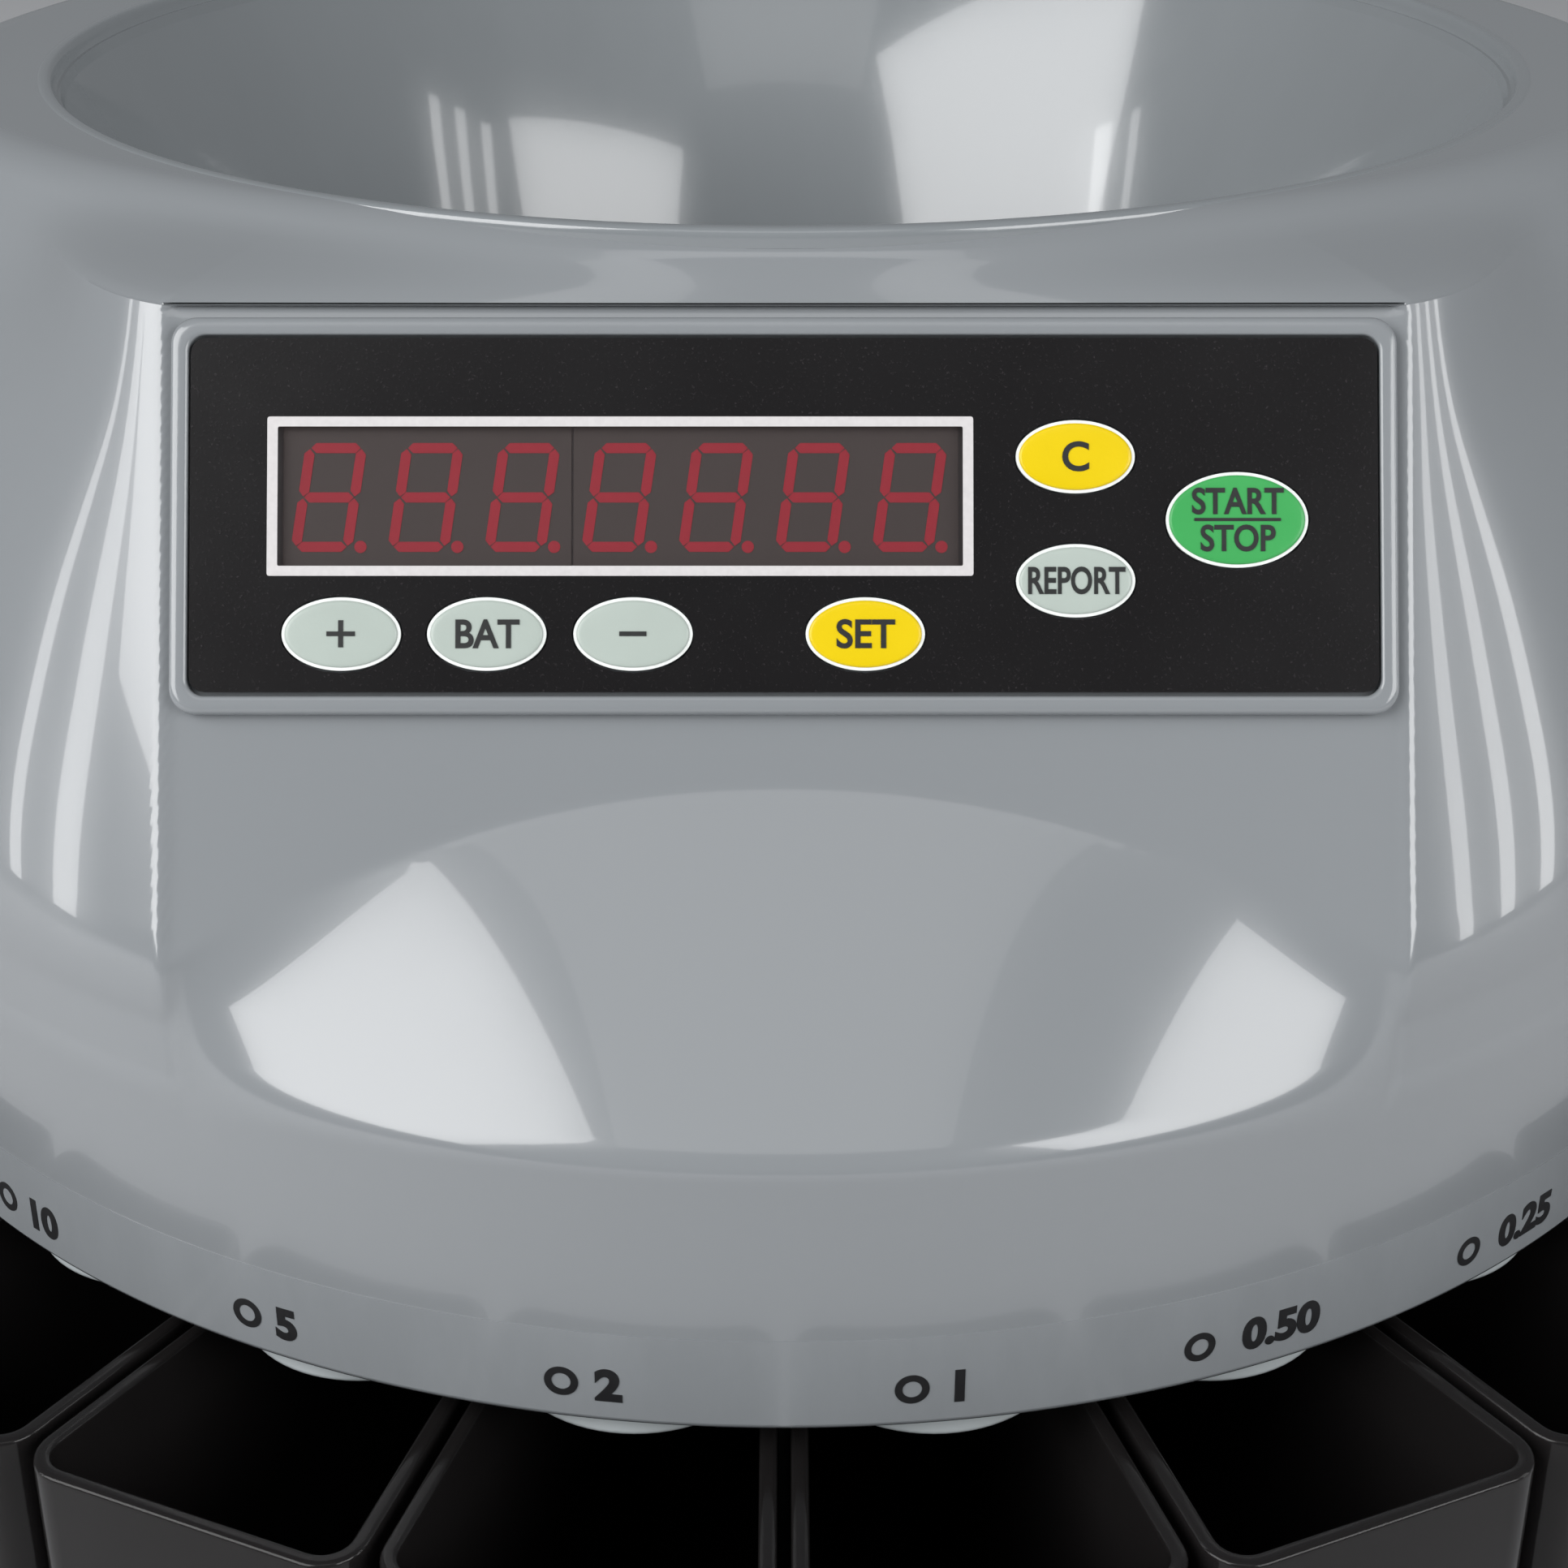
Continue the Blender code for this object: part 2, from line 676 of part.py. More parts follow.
def body_outline(inset):
    """The core's front, a straight side to each end, and the round back with its flat."""

    def side_angle(radius):
        return BODY_HALF_ANGLE + math.asin(inset / radius)

    core = CORE_RADIUS - inset
    outer = BODY_RADIUS - inset
    flat = REAR_FLAT - inset
    flat_angle = math.pi - math.acos(flat / outer)
    points = []
    core_angle = side_angle(core)
    for step in range(25):
        points.append(direction(core_angle * (step / 12 - 1)) * core)
    start = side_angle(outer)
    for step in range(13):
        points.append(direction(start + (flat_angle - start) * step / 12) * outer)
    for step in range(13):
        points.append(direction(-flat_angle + (flat_angle - start) * step / 12) * outer)
    return points


def rear_cutouts():
    """The openings in the body's rear flat: name, centre x, height, width, height of the opening, corner."""
    return (
        ("inlet", -0.028, 0.046, 0.0275, 0.0200, 0.0020),
        ("switch", 0.003, 0.046, 0.0195, 0.0130, 0.0005),
        ("fuse", 0.026, 0.046, 0.0120, 0.0120, 0.0058),
        ("data", 0.028, 0.090, 0.0190, 0.0110, 0.0030),
    )


def rear_ring(centre_x, centre_z, width, height, corner, y):
    """An upright outline on the body's rear flat, at this depth."""
    outline = rectangle(width, height, corner)
    return [Vector((centre_x - point[0], y, centre_z + point[1])) for point in outline]


def body_shell(finish, axis):
    top = DECK_BOTTOM - GAP
    outer = body_outline(0)
    inner = body_outline(BODY_WALL)
    rings = [
        at_height(outer, FLOOR),
        at_height(outer, top),
        at_height(inner, top),
        at_height(inner, FLOOR),
    ]
    body = stack("body_shell", rings, finish, axis, closed=True)
    for name, x, z, width, height, corner in rear_cutouts():
        depths = (REAR_FLAT - 2 * BODY_WALL, REAR_FLAT + 0.005)
        rings = [rear_ring(x, z, width, height, corner, y) for y in depths]
        shape_with(body, stack(f"rear_{name}_tool", rings))


def rear_insert(name, place, flange, depth, finish, axis):
    """A piece pushed into a rear opening: its flange outside, its body through the wall."""
    x, z, width, height, corner = place
    size = (width - 2 * GAP, height - 2 * GAP, corner - GAP)
    wide = (width + 2 * flange, height + 2 * flange, corner + flange / 2)
    rings = [
        rear_ring(x, z, *size, REAR_FLAT - depth),
        rear_ring(x, z, *size, REAR_FLAT + GAP),
        rear_ring(x, z, *wide, REAR_FLAT + GAP),
        rear_ring(x, z, *wide, REAR_FLAT + 0.0022),
    ]
    return stack(name, rings, finish, axis)


def rear_fittings(black, red, metal, axis):
    places = {name: place for name, *place in rear_cutouts()}
    inlet = rear_insert("power_inlet", places["inlet"], 0.003, 0.020, black, axis)
    x, z, width, height, corner = places["inlet"]
    well = [
        rear_ring(x, z, width - 0.004, height - 0.004, corner, y)
        for y in (REAR_FLAT - 0.016, REAR_FLAT + 0.005)
    ]
    shape_with(inlet, stack("inlet_well_tool", well))
    switch = rear_insert("switch_housing", places["switch"], 0.0015, 0.018, black, axis)
    x, z, width, height, corner = places["switch"]
    hollow = (width - 0.004, height - 0.003)
    well = [rear_ring(x, z, *hollow, corner, y) for y in (REAR_FLAT - 0.014, REAR_FLAT + 0.005)]
    shape_with(switch, stack("switch_well_tool", well))
    power_rocker((x, z), (hollow[0] - 4 * GAP, hollow[1] - 4 * GAP), red, axis)
    rear_insert("fuse_cap", places["fuse"], 0.002, 0.030, black, axis)
    rear_insert("data_socket", places["data"], 0.005, 0.012, metal, axis)


def power_rocker(place, size, finish, axis):
    """A shallow V across its length, on a pivot inside the housing, tipped so that one end stands out."""
    pivot = empty("rocker_axis", (place[0], REAR_FLAT - 0.003, place[1]), axis)
    half = size[0] / 2 - 0.001
    tip = math.radians(ROCKER_TILT)
    section = [
        (-half, -0.001),
        (half, -0.001),
        (half, 0.0046),
        (0, 0.0036),
        (-half, 0.0046),
    ]
    rings = []
    for z in (-size[1] / 2, size[1] / 2):
        ring = []
        for px, py in section:
            turned_x = px * math.cos(tip) - py * math.sin(tip)
            turned_y = px * math.sin(tip) + py * math.cos(tip)
            ring.append(Vector((turned_x, turned_y, z)))
        rings.append(ring)
    stack("power_rocker", rings, finish, pivot)


def base_tray(finish, axis):
    inner = BASE_RADIUS - BASE_WALL
    profile = [
        (inner, BASE_TOP - BASE_WALL),
        (inner, BASE_BOTTOM),
        (BASE_RADIUS, BASE_BOTTOM),
        (BASE_RADIUS, BASE_TOP - 0.002),
        (BASE_RADIUS - 0.002, BASE_TOP),
    ]
    turned("base_tray", profile, finish, axis, steps=ROUND_STEPS)


def rubber_feet(finish, axis):
    reach = SKIRT_RADIUS - 0.030
    top = BASE_TOP - BASE_WALL - GAP
    for index, angle in enumerate((45, 135, 225, 315), 1):
        profile = [
            (FOOT_RADIUS - 0.001, 0),
            (FOOT_RADIUS, 0.001),
            (FOOT_RADIUS, FOOT_HEIGHT),
            (FOOT_RADIUS - 0.003, FOOT_HEIGHT),
            (FOOT_RADIUS - 0.003, top),
        ]
        place = direction(math.radians(angle)) * reach
        turned(f"rubber_foot_{index}", profile, finish, axis, steps=16, location=place)


def console_stack(name, layers, finish, console, place=(0, 0), **options):
    """A body on the console, through outlines given with their heights above the facet."""
    rings = [
        [Vector((point[0] + place[0], point[1] + place[1], height)) for point in outline]
        for outline, height in layers
    ]
    return stack(name, rings, finish, console, **options)


def key_layers(size, clearance, low, high):
    outline = ellipse(size[0] + clearance, size[1] + clearance)
    return [(outline, low), (outline, high)]


def console_plate(finish, console):
    outer = rectangle(*PLATE_SIZE, 0.0034)
    top = rectangle(PLATE_SIZE[0] - 0.0008, PLATE_SIZE[1] - 0.0008, 0.0030)
    high = GAP + PLATE_THICK
    layers = [(outer, GAP), (outer, high - 0.0004), (top, high)]
    plate = console_stack("console_plate", layers, finish, console)
    pocket_size = [size + 2 * GAP for size in OVERLAY_SIZE]
    pocket = rectangle(*pocket_size, 0.0022)
    pocket_layers = [(pocket, high - POCKET_DEPTH), (pocket, high + 0.001)]
    shape_with(plate, console_stack("pocket_tool", pocket_layers, None, console))
    panel_holes(plate, "plate", -0.001, high + 0.001, console)


def panel_holes(target, prefix, low, high, console):
    """The window's opening and the seven key holes."""
    opening = rectangle(*(size + GAP for size in WINDOW_SIZE), 0.0010)
    layers = [(opening, low), (opening, high)]
    shape_with(target, console_stack(f"{prefix}_window_tool", layers, None, console, WINDOW_PLACE))
    for name, (x, y, size) in KEYS.items():
        layers = key_layers(size, GAP, low, high)
        shape_with(target, console_stack(f"{prefix}_{name}_tool", layers, None, console, (x, y)))


def overlay_bottom():
    return GAP + PLATE_THICK - POCKET_DEPTH + GAP


def membrane_overlay(finish, console):
    outline = rectangle(*OVERLAY_SIZE, 0.0020)
    low = overlay_bottom()
    high = low + OVERLAY_THICK
    layers = [(outline, low), (outline, high)]
    overlay = console_stack("membrane_overlay", layers, finish, console)
    panel_holes(overlay, "overlay", low - 0.001, high + 0.001, console)


def display_parts(window_finish, module_finish, board_finish, console):
    window = rectangle(*(size - GAP for size in WINDOW_SIZE), 0.0010)
    top = overlay_bottom() + OVERLAY_THICK
    layers = [(window, top - WINDOW_THICK), (window, top)]
    console_stack("display_window", layers, window_finish, console, WINDOW_PLACE)
    front = top - WINDOW_THICK - GAP
    left = WINDOW_PLACE[0] - DIGIT_PITCH * sum(MODULE_DIGITS.values()) / 2
    for name, digits in MODULE_DIGITS.items():
        width = DIGIT_PITCH * digits
        outline = rectangle(width - GAP, MODULE_HEIGHT, 0.0003)
        layers = [(outline, front - MODULE_DEPTH), (outline, front)]
        place = (left + width / 2, WINDOW_PLACE[1])
        console_stack(name, layers, module_finish, console, place)
        left += width
    board = rectangle(PANEL_OPENING[0] - 0.002, PANEL_OPENING[1] - 0.002, 0.001)
    high = front - MODULE_DEPTH - GAP
    layers = [(board, high - BOARD_THICK), (board, high)]
    console_stack("display_board", layers, board_finish, console)
    return high


def keys(finishes, console, board_top):
    """Each key is an oval pad through the panel, with a stem that ends above the board."""
    top = overlay_bottom() + OVERLAY_THICK + KEY_PROUD
    for name, (x, y, size) in KEYS.items():
        origin = empty(f"{name}_axis", (x, y, 0), console)
        layers = [
            (ellipse(KEY_STEM, KEY_STEM), board_top + 0.0012),
            (ellipse(KEY_STEM, KEY_STEM), -0.0012),
            (ellipse(*size), -0.0010),
            (ellipse(*size), top - 0.0003),
            (ellipse(size[0] - 0.0005, size[1] - 0.0005), top),
        ]
        console_stack(name, layers, finishes[name], origin)


def transformer(finish, axis):
    width, depth, height = TRANSFORMER_SIZE
    centre = (-SKIRT_RADIUS * 0.47, SKIRT_RADIUS * 0.42)
    outline = rectangle(width, depth, 0.003, centre)
    prism("transformer", outline, FLOOR, FLOOR + height, finish, axis)


def main_board(finish, axis):
    """The board and its four posts are one piece."""
    width, depth = MAIN_BOARD_SIZE
    centre = (SKIRT_RADIUS * 0.42, SKIRT_RADIUS * 0.33)
    low = FLOOR + MAIN_BOARD_RISE
    outline = rectangle(width, depth, 0.002, centre)
    board = prism("main_board", outline, low, low + BOARD_THICK, finish, axis)
    for index, (side, end) in enumerate(((-1, -1), (1, -1), (1, 1), (-1, 1)), 1):
        place = (centre[0] + side * (width / 2 - 0.006), centre[1] + end * (depth / 2 - 0.006), 0)
        profile = [(0.003, FLOOR), (0.003, low + BOARD_THICK / 2)]
        shape_with(board, turned(f"post_tool_{index}", profile, steps=16, location=place), "UNION")


def coin_sensor(finish, axis):
    width, depth, height = SENSOR_SIZE
    place = (DECK_RADIUS - FENCE_WALL - width / 2 - 0.005, HOPPER_SETBACK, 0)
    low = DECK_TOP + GAP
    prism("coin_sensor", rectangle(width, depth, 0.001), low, low + height, finish, axis, location=place)


def axis_setback():
    """How far the machine's axis stands behind the middle of the whole object."""
    half = CUP_PITCH / 2
    front = max(x * math.cos(half) + y * math.sin(half) for x, y in cup_outline(0))
    return (front - BASE_RADIUS) / 2


def empty(name, location, parent=None, tilt=0.0):
    made = bpy.data.objects.new(name, None)
    bpy.context.scene.collection.objects.link(made)
    made.parent = parent
    made.location = location
    made.rotation_euler.x = tilt
    return made


def main():
    clear_scene()
    shell_grey = material("shell_grey", (0.42, 0.45, 0.47), 0.28)
    hopper_grey = material("hopper_grey", (0.36, 0.38, 0.40), 0.42)
    body_grey = material("body_grey", (0.38, 0.41, 0.43), 0.40)
    base_dark = material("base_dark", (0.10, 0.11, 0.12), 0.5)
    smoke = material("smoke", (0.05, 0.045, 0.045), 0.12, alpha=0.8)
    chute_grey = material("chute_grey", (0.40, 0.42, 0.43), 0.45)
    strip_clear = material("strip_clear", (0.62, 0.64, 0.65), 0.18)
    label_black = material("label_black", (0.014, 0.013, 0.014), 0.45)
    window_tint = material("window_tint", (0.09, 0.06, 0.06), 0.10, alpha=0.45)
    led_grey = material("led_grey", (0.05, 0.045, 0.045), 0.35)
    board_green = material("board_green", (0.02, 0.16, 0.07), 0.4)
    pale = material("key_pale", (0.48, 0.62, 0.56), 0.35)
    yellow = material("key_yellow", (0.90, 0.68, 0.02), 0.35)
    green = material("key_green", (0.05, 0.42, 0.12), 0.35)
    deck_plastic = material("deck_plastic", (0.72, 0.72, 0.70), 0.45)
    disc_finish = material("disc_finish", (0.30, 0.31, 0.32), 0.35)
    steel = material("steel", (0.62, 0.62, 0.62), 0.3, 1.0)
    sheet = material("zinc_sheet", (0.60, 0.61, 0.60), 0.4, 1.0)
    motor_metal = material("motor_metal", (0.30, 0.30, 0.31), 0.35, 1.0)
    black = material("fitting_black", (0.02, 0.02, 0.02), 0.35)
    red = material("rocker_red", (0.55, 0.03, 0.02), 0.3)
    rubber = material("rubber", (0.02, 0.02, 0.02), 0.8)
    iron = material("transformer_iron", (0.12, 0.11, 0.10), 0.5, 0.6)

    axis = empty("machine_axis", (0, axis_setback(), 0))
    rotor = empty("rotor_axis", (0, HOPPER_SETBACK, 0), axis)
    motor_axis = empty("motor_axis", (0, MOTOR_Y, 0), axis)
    console = empty("console", CONSOLE_CENTRE, axis, CONSOLE_TILT)

    base_tray(base_dark, axis)
    rubber_feet(rubber, axis)
    body_shell(body_grey, axis)
    rear_fittings(black, red, steel, axis)
    transformer(iron, axis)
    main_board(board_green, axis)
    coin_cups(smoke, axis)
    sorting_deck(deck_plastic, axis)
    coin_fence(deck_plastic, axis)
    coin_sensor(black, axis)
    coin_chutes(chute_grey, axis)
    bearing_and_housing(steel, black, axis)
    motor_and_bracket(motor_metal, sheet, axis)
    motor_pulley(motor_axis, black)
    drive_pulley(rotor, black)
    drive_belt(rubber, axis)
    disc_shaft(rotor, steel)
    sorting_disc(rotor, disc_finish)
    disc_cap(rotor, hopper_grey)
    upper_shell(shell_grey, axis)
    shell_screws(steel, axis)
    denomination_strip(strip_clear, axis)
    hopper_bowl(hopper_grey, axis)
    console_plate(shell_grey, console)
    membrane_overlay(label_black, console)
    board_top = display_parts(window_tint, led_grey, board_green, console)
    colours = dict.fromkeys(KEYS, pale)
    colours.update(key_set=yellow, key_clear=yellow, key_start=green)
    keys(colours, console, board_top)


if __name__ == "__main__":
    main()
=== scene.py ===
"""The looks of a desktop coin counter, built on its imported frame. Metres, +Z up, front at -Y."""

import json
import math

import bmesh
import bpy
import numpy as np
from bpy.props import FloatProperty, FloatVectorProperty, IntProperty, PointerProperty
from mathutils import Matrix, Vector


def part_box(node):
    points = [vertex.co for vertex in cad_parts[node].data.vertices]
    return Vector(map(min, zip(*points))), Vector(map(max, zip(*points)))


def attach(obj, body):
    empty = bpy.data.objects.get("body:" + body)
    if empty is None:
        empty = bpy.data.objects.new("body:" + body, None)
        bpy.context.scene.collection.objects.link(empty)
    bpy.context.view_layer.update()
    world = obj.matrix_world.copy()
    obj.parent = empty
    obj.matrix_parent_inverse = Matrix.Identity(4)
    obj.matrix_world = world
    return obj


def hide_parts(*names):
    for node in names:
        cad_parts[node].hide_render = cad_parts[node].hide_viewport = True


bl_info = {
    "name": "Coin Counter",
    "version": (1, 0, 0),
    "blender": (4, 5, 0),
    "location": "View3D > Sidebar > Coin Counter",
    "description": "Builds the shells, panel, cups and finishes of a desktop coin counter",
    "category": "Object",
}

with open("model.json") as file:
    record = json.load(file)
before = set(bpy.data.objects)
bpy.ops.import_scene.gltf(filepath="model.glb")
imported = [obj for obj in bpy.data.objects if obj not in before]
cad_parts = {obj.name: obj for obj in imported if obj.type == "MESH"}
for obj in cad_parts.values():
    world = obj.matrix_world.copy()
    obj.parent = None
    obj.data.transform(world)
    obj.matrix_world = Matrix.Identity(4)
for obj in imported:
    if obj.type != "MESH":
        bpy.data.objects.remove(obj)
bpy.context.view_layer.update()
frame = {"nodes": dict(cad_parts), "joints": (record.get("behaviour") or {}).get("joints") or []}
NODES = frame["nodes"]
JOINTS = {joint["name"]: joint for joint in frame["joints"]}

TRAY_LOW, TRAY_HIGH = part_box("base_tray")
SHELL_LOW, SHELL_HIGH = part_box("upper_shell")
CUP_COUNT = sum(name.startswith("coin_cup_") for name in NODES)
AXIS = Vector((0, (TRAY_LOW.y + TRAY_HIGH.y) / 2, 0))
SKIRT_RADIUS = SHELL_HIGH.x
SKIRT_BOTTOM = SHELL_LOW.z
HEAD_TOP = SHELL_HIGH.z
HOPPER_SETBACK = JOINTS["disc_spin"]["pos_m"][1] - AXIS.y

# The panel's own directions, from the way its keys move
PANEL_OUT = -Vector(JOINTS["key_set_press"]["axis"])
PANEL_ACROSS = Vector((1, 0, 0))
PANEL_UP = PANEL_OUT.cross(PANEL_ACROSS)


# ---- Places and shapes ----


def heights_above(direction, node):
    """How far along a direction a node starts and ends."""
    reach = [vertex.co.dot(direction) for vertex in NODES[node].data.vertices]
    return min(reach), max(reach)


def middle_of(node):
    low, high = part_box(node)
    return (low + high) / 2


FACET_LEVEL = heights_above(PANEL_OUT, "console_plate")[0] - 0.0003
FILM_LEVEL = heights_above(PANEL_OUT, "membrane_overlay")[1] - FACET_LEVEL
PANEL_CENTRE = middle_of("console_plate")
PANEL_CENTRE += PANEL_OUT * (FACET_LEVEL - PANEL_CENTRE.dot(PANEL_OUT))


def on_panel(x, y, height):
    """A place on the tilted facet: across, up, and out from its surface."""
    return PANEL_CENTRE + PANEL_ACROSS * x + PANEL_UP * y + PANEL_OUT * height


def panel_place(node):
    """Where a node's middle is, across and up the panel."""
    offset = middle_of(node) - PANEL_CENTRE
    return offset.dot(PANEL_ACROSS), offset.dot(PANEL_UP)


def foot_of(node):
    """The point on the ground under a node's middle."""
    spot = middle_of(node)
    spot.z = 0
    return spot


def outward(angle):
    """The way out from the axis at an angle from the front, counted towards +X."""
    return Vector((math.sin(angle), -math.cos(angle), 0))


def circle(radius, height, steps, centre):
    ways = [outward(2 * math.pi * step / steps) for step in range(steps)]
    return [centre + way * radius + Vector((0, 0, height)) for way in ways]


def rounded(corners, radius, steps=8):
    """The outline through these corners, counterclockwise, with each one rounded."""
    points = []
    for index, corner in enumerate(corners):
        here = Vector(corner)
        before = (Vector(corners[index - 1]) - here).normalized()
        after = (Vector(corners[(index + 1) % len(corners)]) - here).normalized()
        half = before.angle(after) / 2
        centre = here + (before + after).normalized() * radius / math.sin(half)
        start = here + before * radius / math.tan(half) - centre
        for step in range(steps + 1):
            swing = Matrix.Rotation((math.pi - 2 * half) * step / steps, 2)
            points.append(centre + swing @ start)
    return points


def rectangle(width, height, radius, steps=8):
    x, y = width / 2, height / 2
    return rounded([(-x, -y), (x, -y), (x, y), (-x, y)], radius, steps)


def ellipse(half_width, half_height, steps=72):
    angles = [2 * math.pi * step / steps for step in range(steps)]
    return [Vector((half_width * math.cos(a), half_height * math.sin(a))) for a in angles]


def finished_mesh(shape, name):
    """Turns a bmesh into a smooth-shaded mesh with its faces pointing out."""
    bmesh.ops.recalc_face_normals(shape, faces=shape.faces)
    mesh = bpy.data.meshes.new(name)
    shape.to_mesh(mesh)
    shape.free()
    mesh.shade_smooth()
    mesh.set_sharp_from_angle(angle=math.radians(40))
    return mesh


def stacked(name, rings, closed=False):
    """A mesh through rings of points, its ends capped, or joined to each other where closed."""
    shape = bmesh.new()
    layers = [[shape.verts.new(point) for point in ring] for ring in rings]
    pairs = list(zip(layers, layers[1:]))
    if closed:
        pairs.append((layers[-1], layers[0]))
    for lower, upper in pairs:
        for index in range(len(lower)):
            after = (index + 1) % len(lower)
            shape.faces.new((lower[index], lower[after], upper[after], upper[index]))
    if not closed:
        shape.faces.new(reversed(layers[0]))
        shape.faces.new(layers[-1])
    return finished_mesh(shape, name)


def turned(name, profile, centre, closed=False, steps=96):
    """A round mesh about an upright axis, from (radius, height) pairs."""
    rings = [circle(radius, height, steps, centre) for radius, height in profile]
    return stacked(name, rings, closed)


def fillet(start, corner, end, steps=5):
    """Points of a smooth bend from start to end that leans towards the corner."""
    points = []
    for step in range(steps + 1):
        share = step / steps
        weights = ((1 - share) ** 2, 2 * share * (1 - share), share**2)
        points.append(
            tuple(sum(w * p[axis] for w, p in zip(weights, (start, corner, end))) for axis in (0, 1))
        )
    return points


def piece(name, mesh, finish, body="base", stands_for=()):
    """Puts a finished mesh in the scene, on the body it moves with."""
    mesh.materials.clear()
    mesh.materials.append(finish)
    made = bpy.data.objects.new(name, mesh)
    bpy.context.scene.collection.objects.link(made)
    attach(made, body)
    if stands_for:
        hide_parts(*stands_for)
    return made


def plain_copy(made, name):
    """The evaluated mesh of an object, which is then taken away."""
    graph = bpy.context.evaluated_depsgraph_get()
    mesh = bpy.data.meshes.new_from_object(made.evaluated_get(graph))
    mesh.name = name
    bpy.data.objects.remove(made)
    return mesh


def loose(name, mesh):
    made = bpy.data.objects.new(name, mesh)
    bpy.context.scene.collection.objects.link(made)
    return made


def cut(mesh, cutters, name):
    """The mesh with each cutter taken out of it."""
    made = loose(name, mesh)
    tools = [loose(f"{name}_tool", cutter) for cutter in cutters]
    for tool in tools:
        change = made.modifiers.new("cut", "BOOLEAN")
        change.solver = "EXACT"
        change.object = tool
    result = plain_copy(made, name)
    for tool in tools:
        bpy.data.objects.remove(tool)
    result.shade_smooth()
    result.set_sharp_from_angle(angle=math.radians(40))
    return result


def lettering(words, height, squeeze=1.0, weight=0.03, thickness=0.00006):
    """Flat letters as a mesh, centred on the origin, with capitals of this height."""
    curve = bpy.data.curves.new(words, "FONT")
    curve.body = words
    curve.size = height / 0.70
    curve.align_x = "CENTER"
    curve.align_y = "CENTER"
    curve.offset = height * weight
    curve.extrude = thickness
    curve.resolution_u = 6
    mesh = plain_copy(loose(words, curve), words)
    heights = [vertex.co.y for vertex in mesh.vertices]
    mesh.transform(Matrix.Translation((0, -(min(heights) + max(heights)) / 2, 0)))
    mesh.transform(Matrix.Diagonal((squeeze, 1, 1, 1)))
    return mesh


def placed_on_panel(mesh, x, y, height):
    """Lays a flat mesh on the panel."""
    for vertex in mesh.vertices:
        vertex.co = on_panel(x + vertex.co.x, y + vertex.co.y, height + vertex.co.z)
    return mesh


def joined(name, meshes):
    shape = bmesh.new()
    for mesh in meshes:
        shape.from_mesh(mesh)
    result = bpy.data.meshes.new(name)
    shape.to_mesh(result)
    shape.free()
    return result


# ---- Repeats, as Geometry Nodes ----


class NodeTree:
    """A Geometry Nodes tree under construction, with named inputs."""

    def __init__(self, name, inputs):
        self.tree = bpy.data.node_groups.new(name, "GeometryNodeTree")
        self.tree.interface.new_socket("Geometry", in_out="OUTPUT", socket_type="NodeSocketGeometry")
        for label, kind in inputs.items():
            self.tree.interface.new_socket(label, in_out="INPUT", socket_type=f"NodeSocket{kind}")
        self.given = self.tree.nodes.new("NodeGroupInput").outputs
        self.result = self.tree.nodes.new("NodeGroupOutput").inputs[0]

    def add(self, kind, settings=None, **sockets):
        node = self.tree.nodes.new(kind)
        for label, value in (settings or {}).items():
            setattr(node, label, value)
        for label, value in sockets.items():
            socket = node.inputs[label.replace("_", " ")]
            if isinstance(value, bpy.types.NodeSocket):
                self.tree.links.new(value, socket)
            else:
                socket.default_value = value
        return node.outputs

    def finish(self, geometry, finish):
        real = self.add("GeometryNodeRealizeInstances", Geometry=geometry)
        coated = self.add("GeometryNodeSetMaterial", Geometry=real[0], Material=finish)
        self.tree.links.new(coated[0], self.result)
        return self.tree


def row_tree(finish):
    """Copies an object along +X."""
    tree = NodeTree("row", {"Copy": "Object", "Count": "Int", "Pitch": "Float"})
    step = tree.add("ShaderNodeCombineXYZ", X=tree.given["Pitch"])
    line = tree.add("GeometryNodeMeshLine", Count=tree.given["Count"], Offset=step[0])
    copied = tree.add("GeometryNodeObjectInfo", Object=tree.given["Copy"])
    many = tree.add("GeometryNodeInstanceOnPoints", Points=line[0], Instance=copied["Geometry"])
    return tree.finish(many[0], finish)


def ring_tree(finish):
    """Copies an object round a circle, each copy turned to face out."""
    tree = NodeTree("ring", {"Copy": "Object", "Count": "Int", "Radius": "Float"})
    ring = tree.add("GeometryNodeMeshCircle", Vertices=tree.given["Count"], Radius=tree.given["Radius"])
    copied = tree.add("GeometryNodeObjectInfo", Object=tree.given["Copy"])
    place = tree.add("GeometryNodeInputPosition")
    settings = {"axis": "X", "pivot_axis": "Z"}
    facing = tree.add("FunctionNodeAlignRotationToVector", settings, Vector=place[0])
    many = tree.add(
        "GeometryNodeInstanceOnPoints",
        Points=ring[0],
        Instance=copied["Geometry"],
        Rotation=facing[0],
    )
    return tree.finish(many[0], finish)


def repeated(name, tree, copy, **inputs):
    """The mesh that a repeat tree makes from one copy."""
    pattern = loose(f"{name}_copy", copy)
    made = loose(name, bpy.data.meshes.new(name))
    change = made.modifiers.new("repeat", "NODES")
    change.node_group = tree
    labels = {item.name: item.identifier for item in tree.interface.items_tree}
    change[labels["Copy"]] = pattern
    for label, value in inputs.items():
        change[labels[label]] = value
    mesh = plain_copy(made, name)
    bpy.data.objects.remove(pattern)
    return mesh


# ---- Materials ----


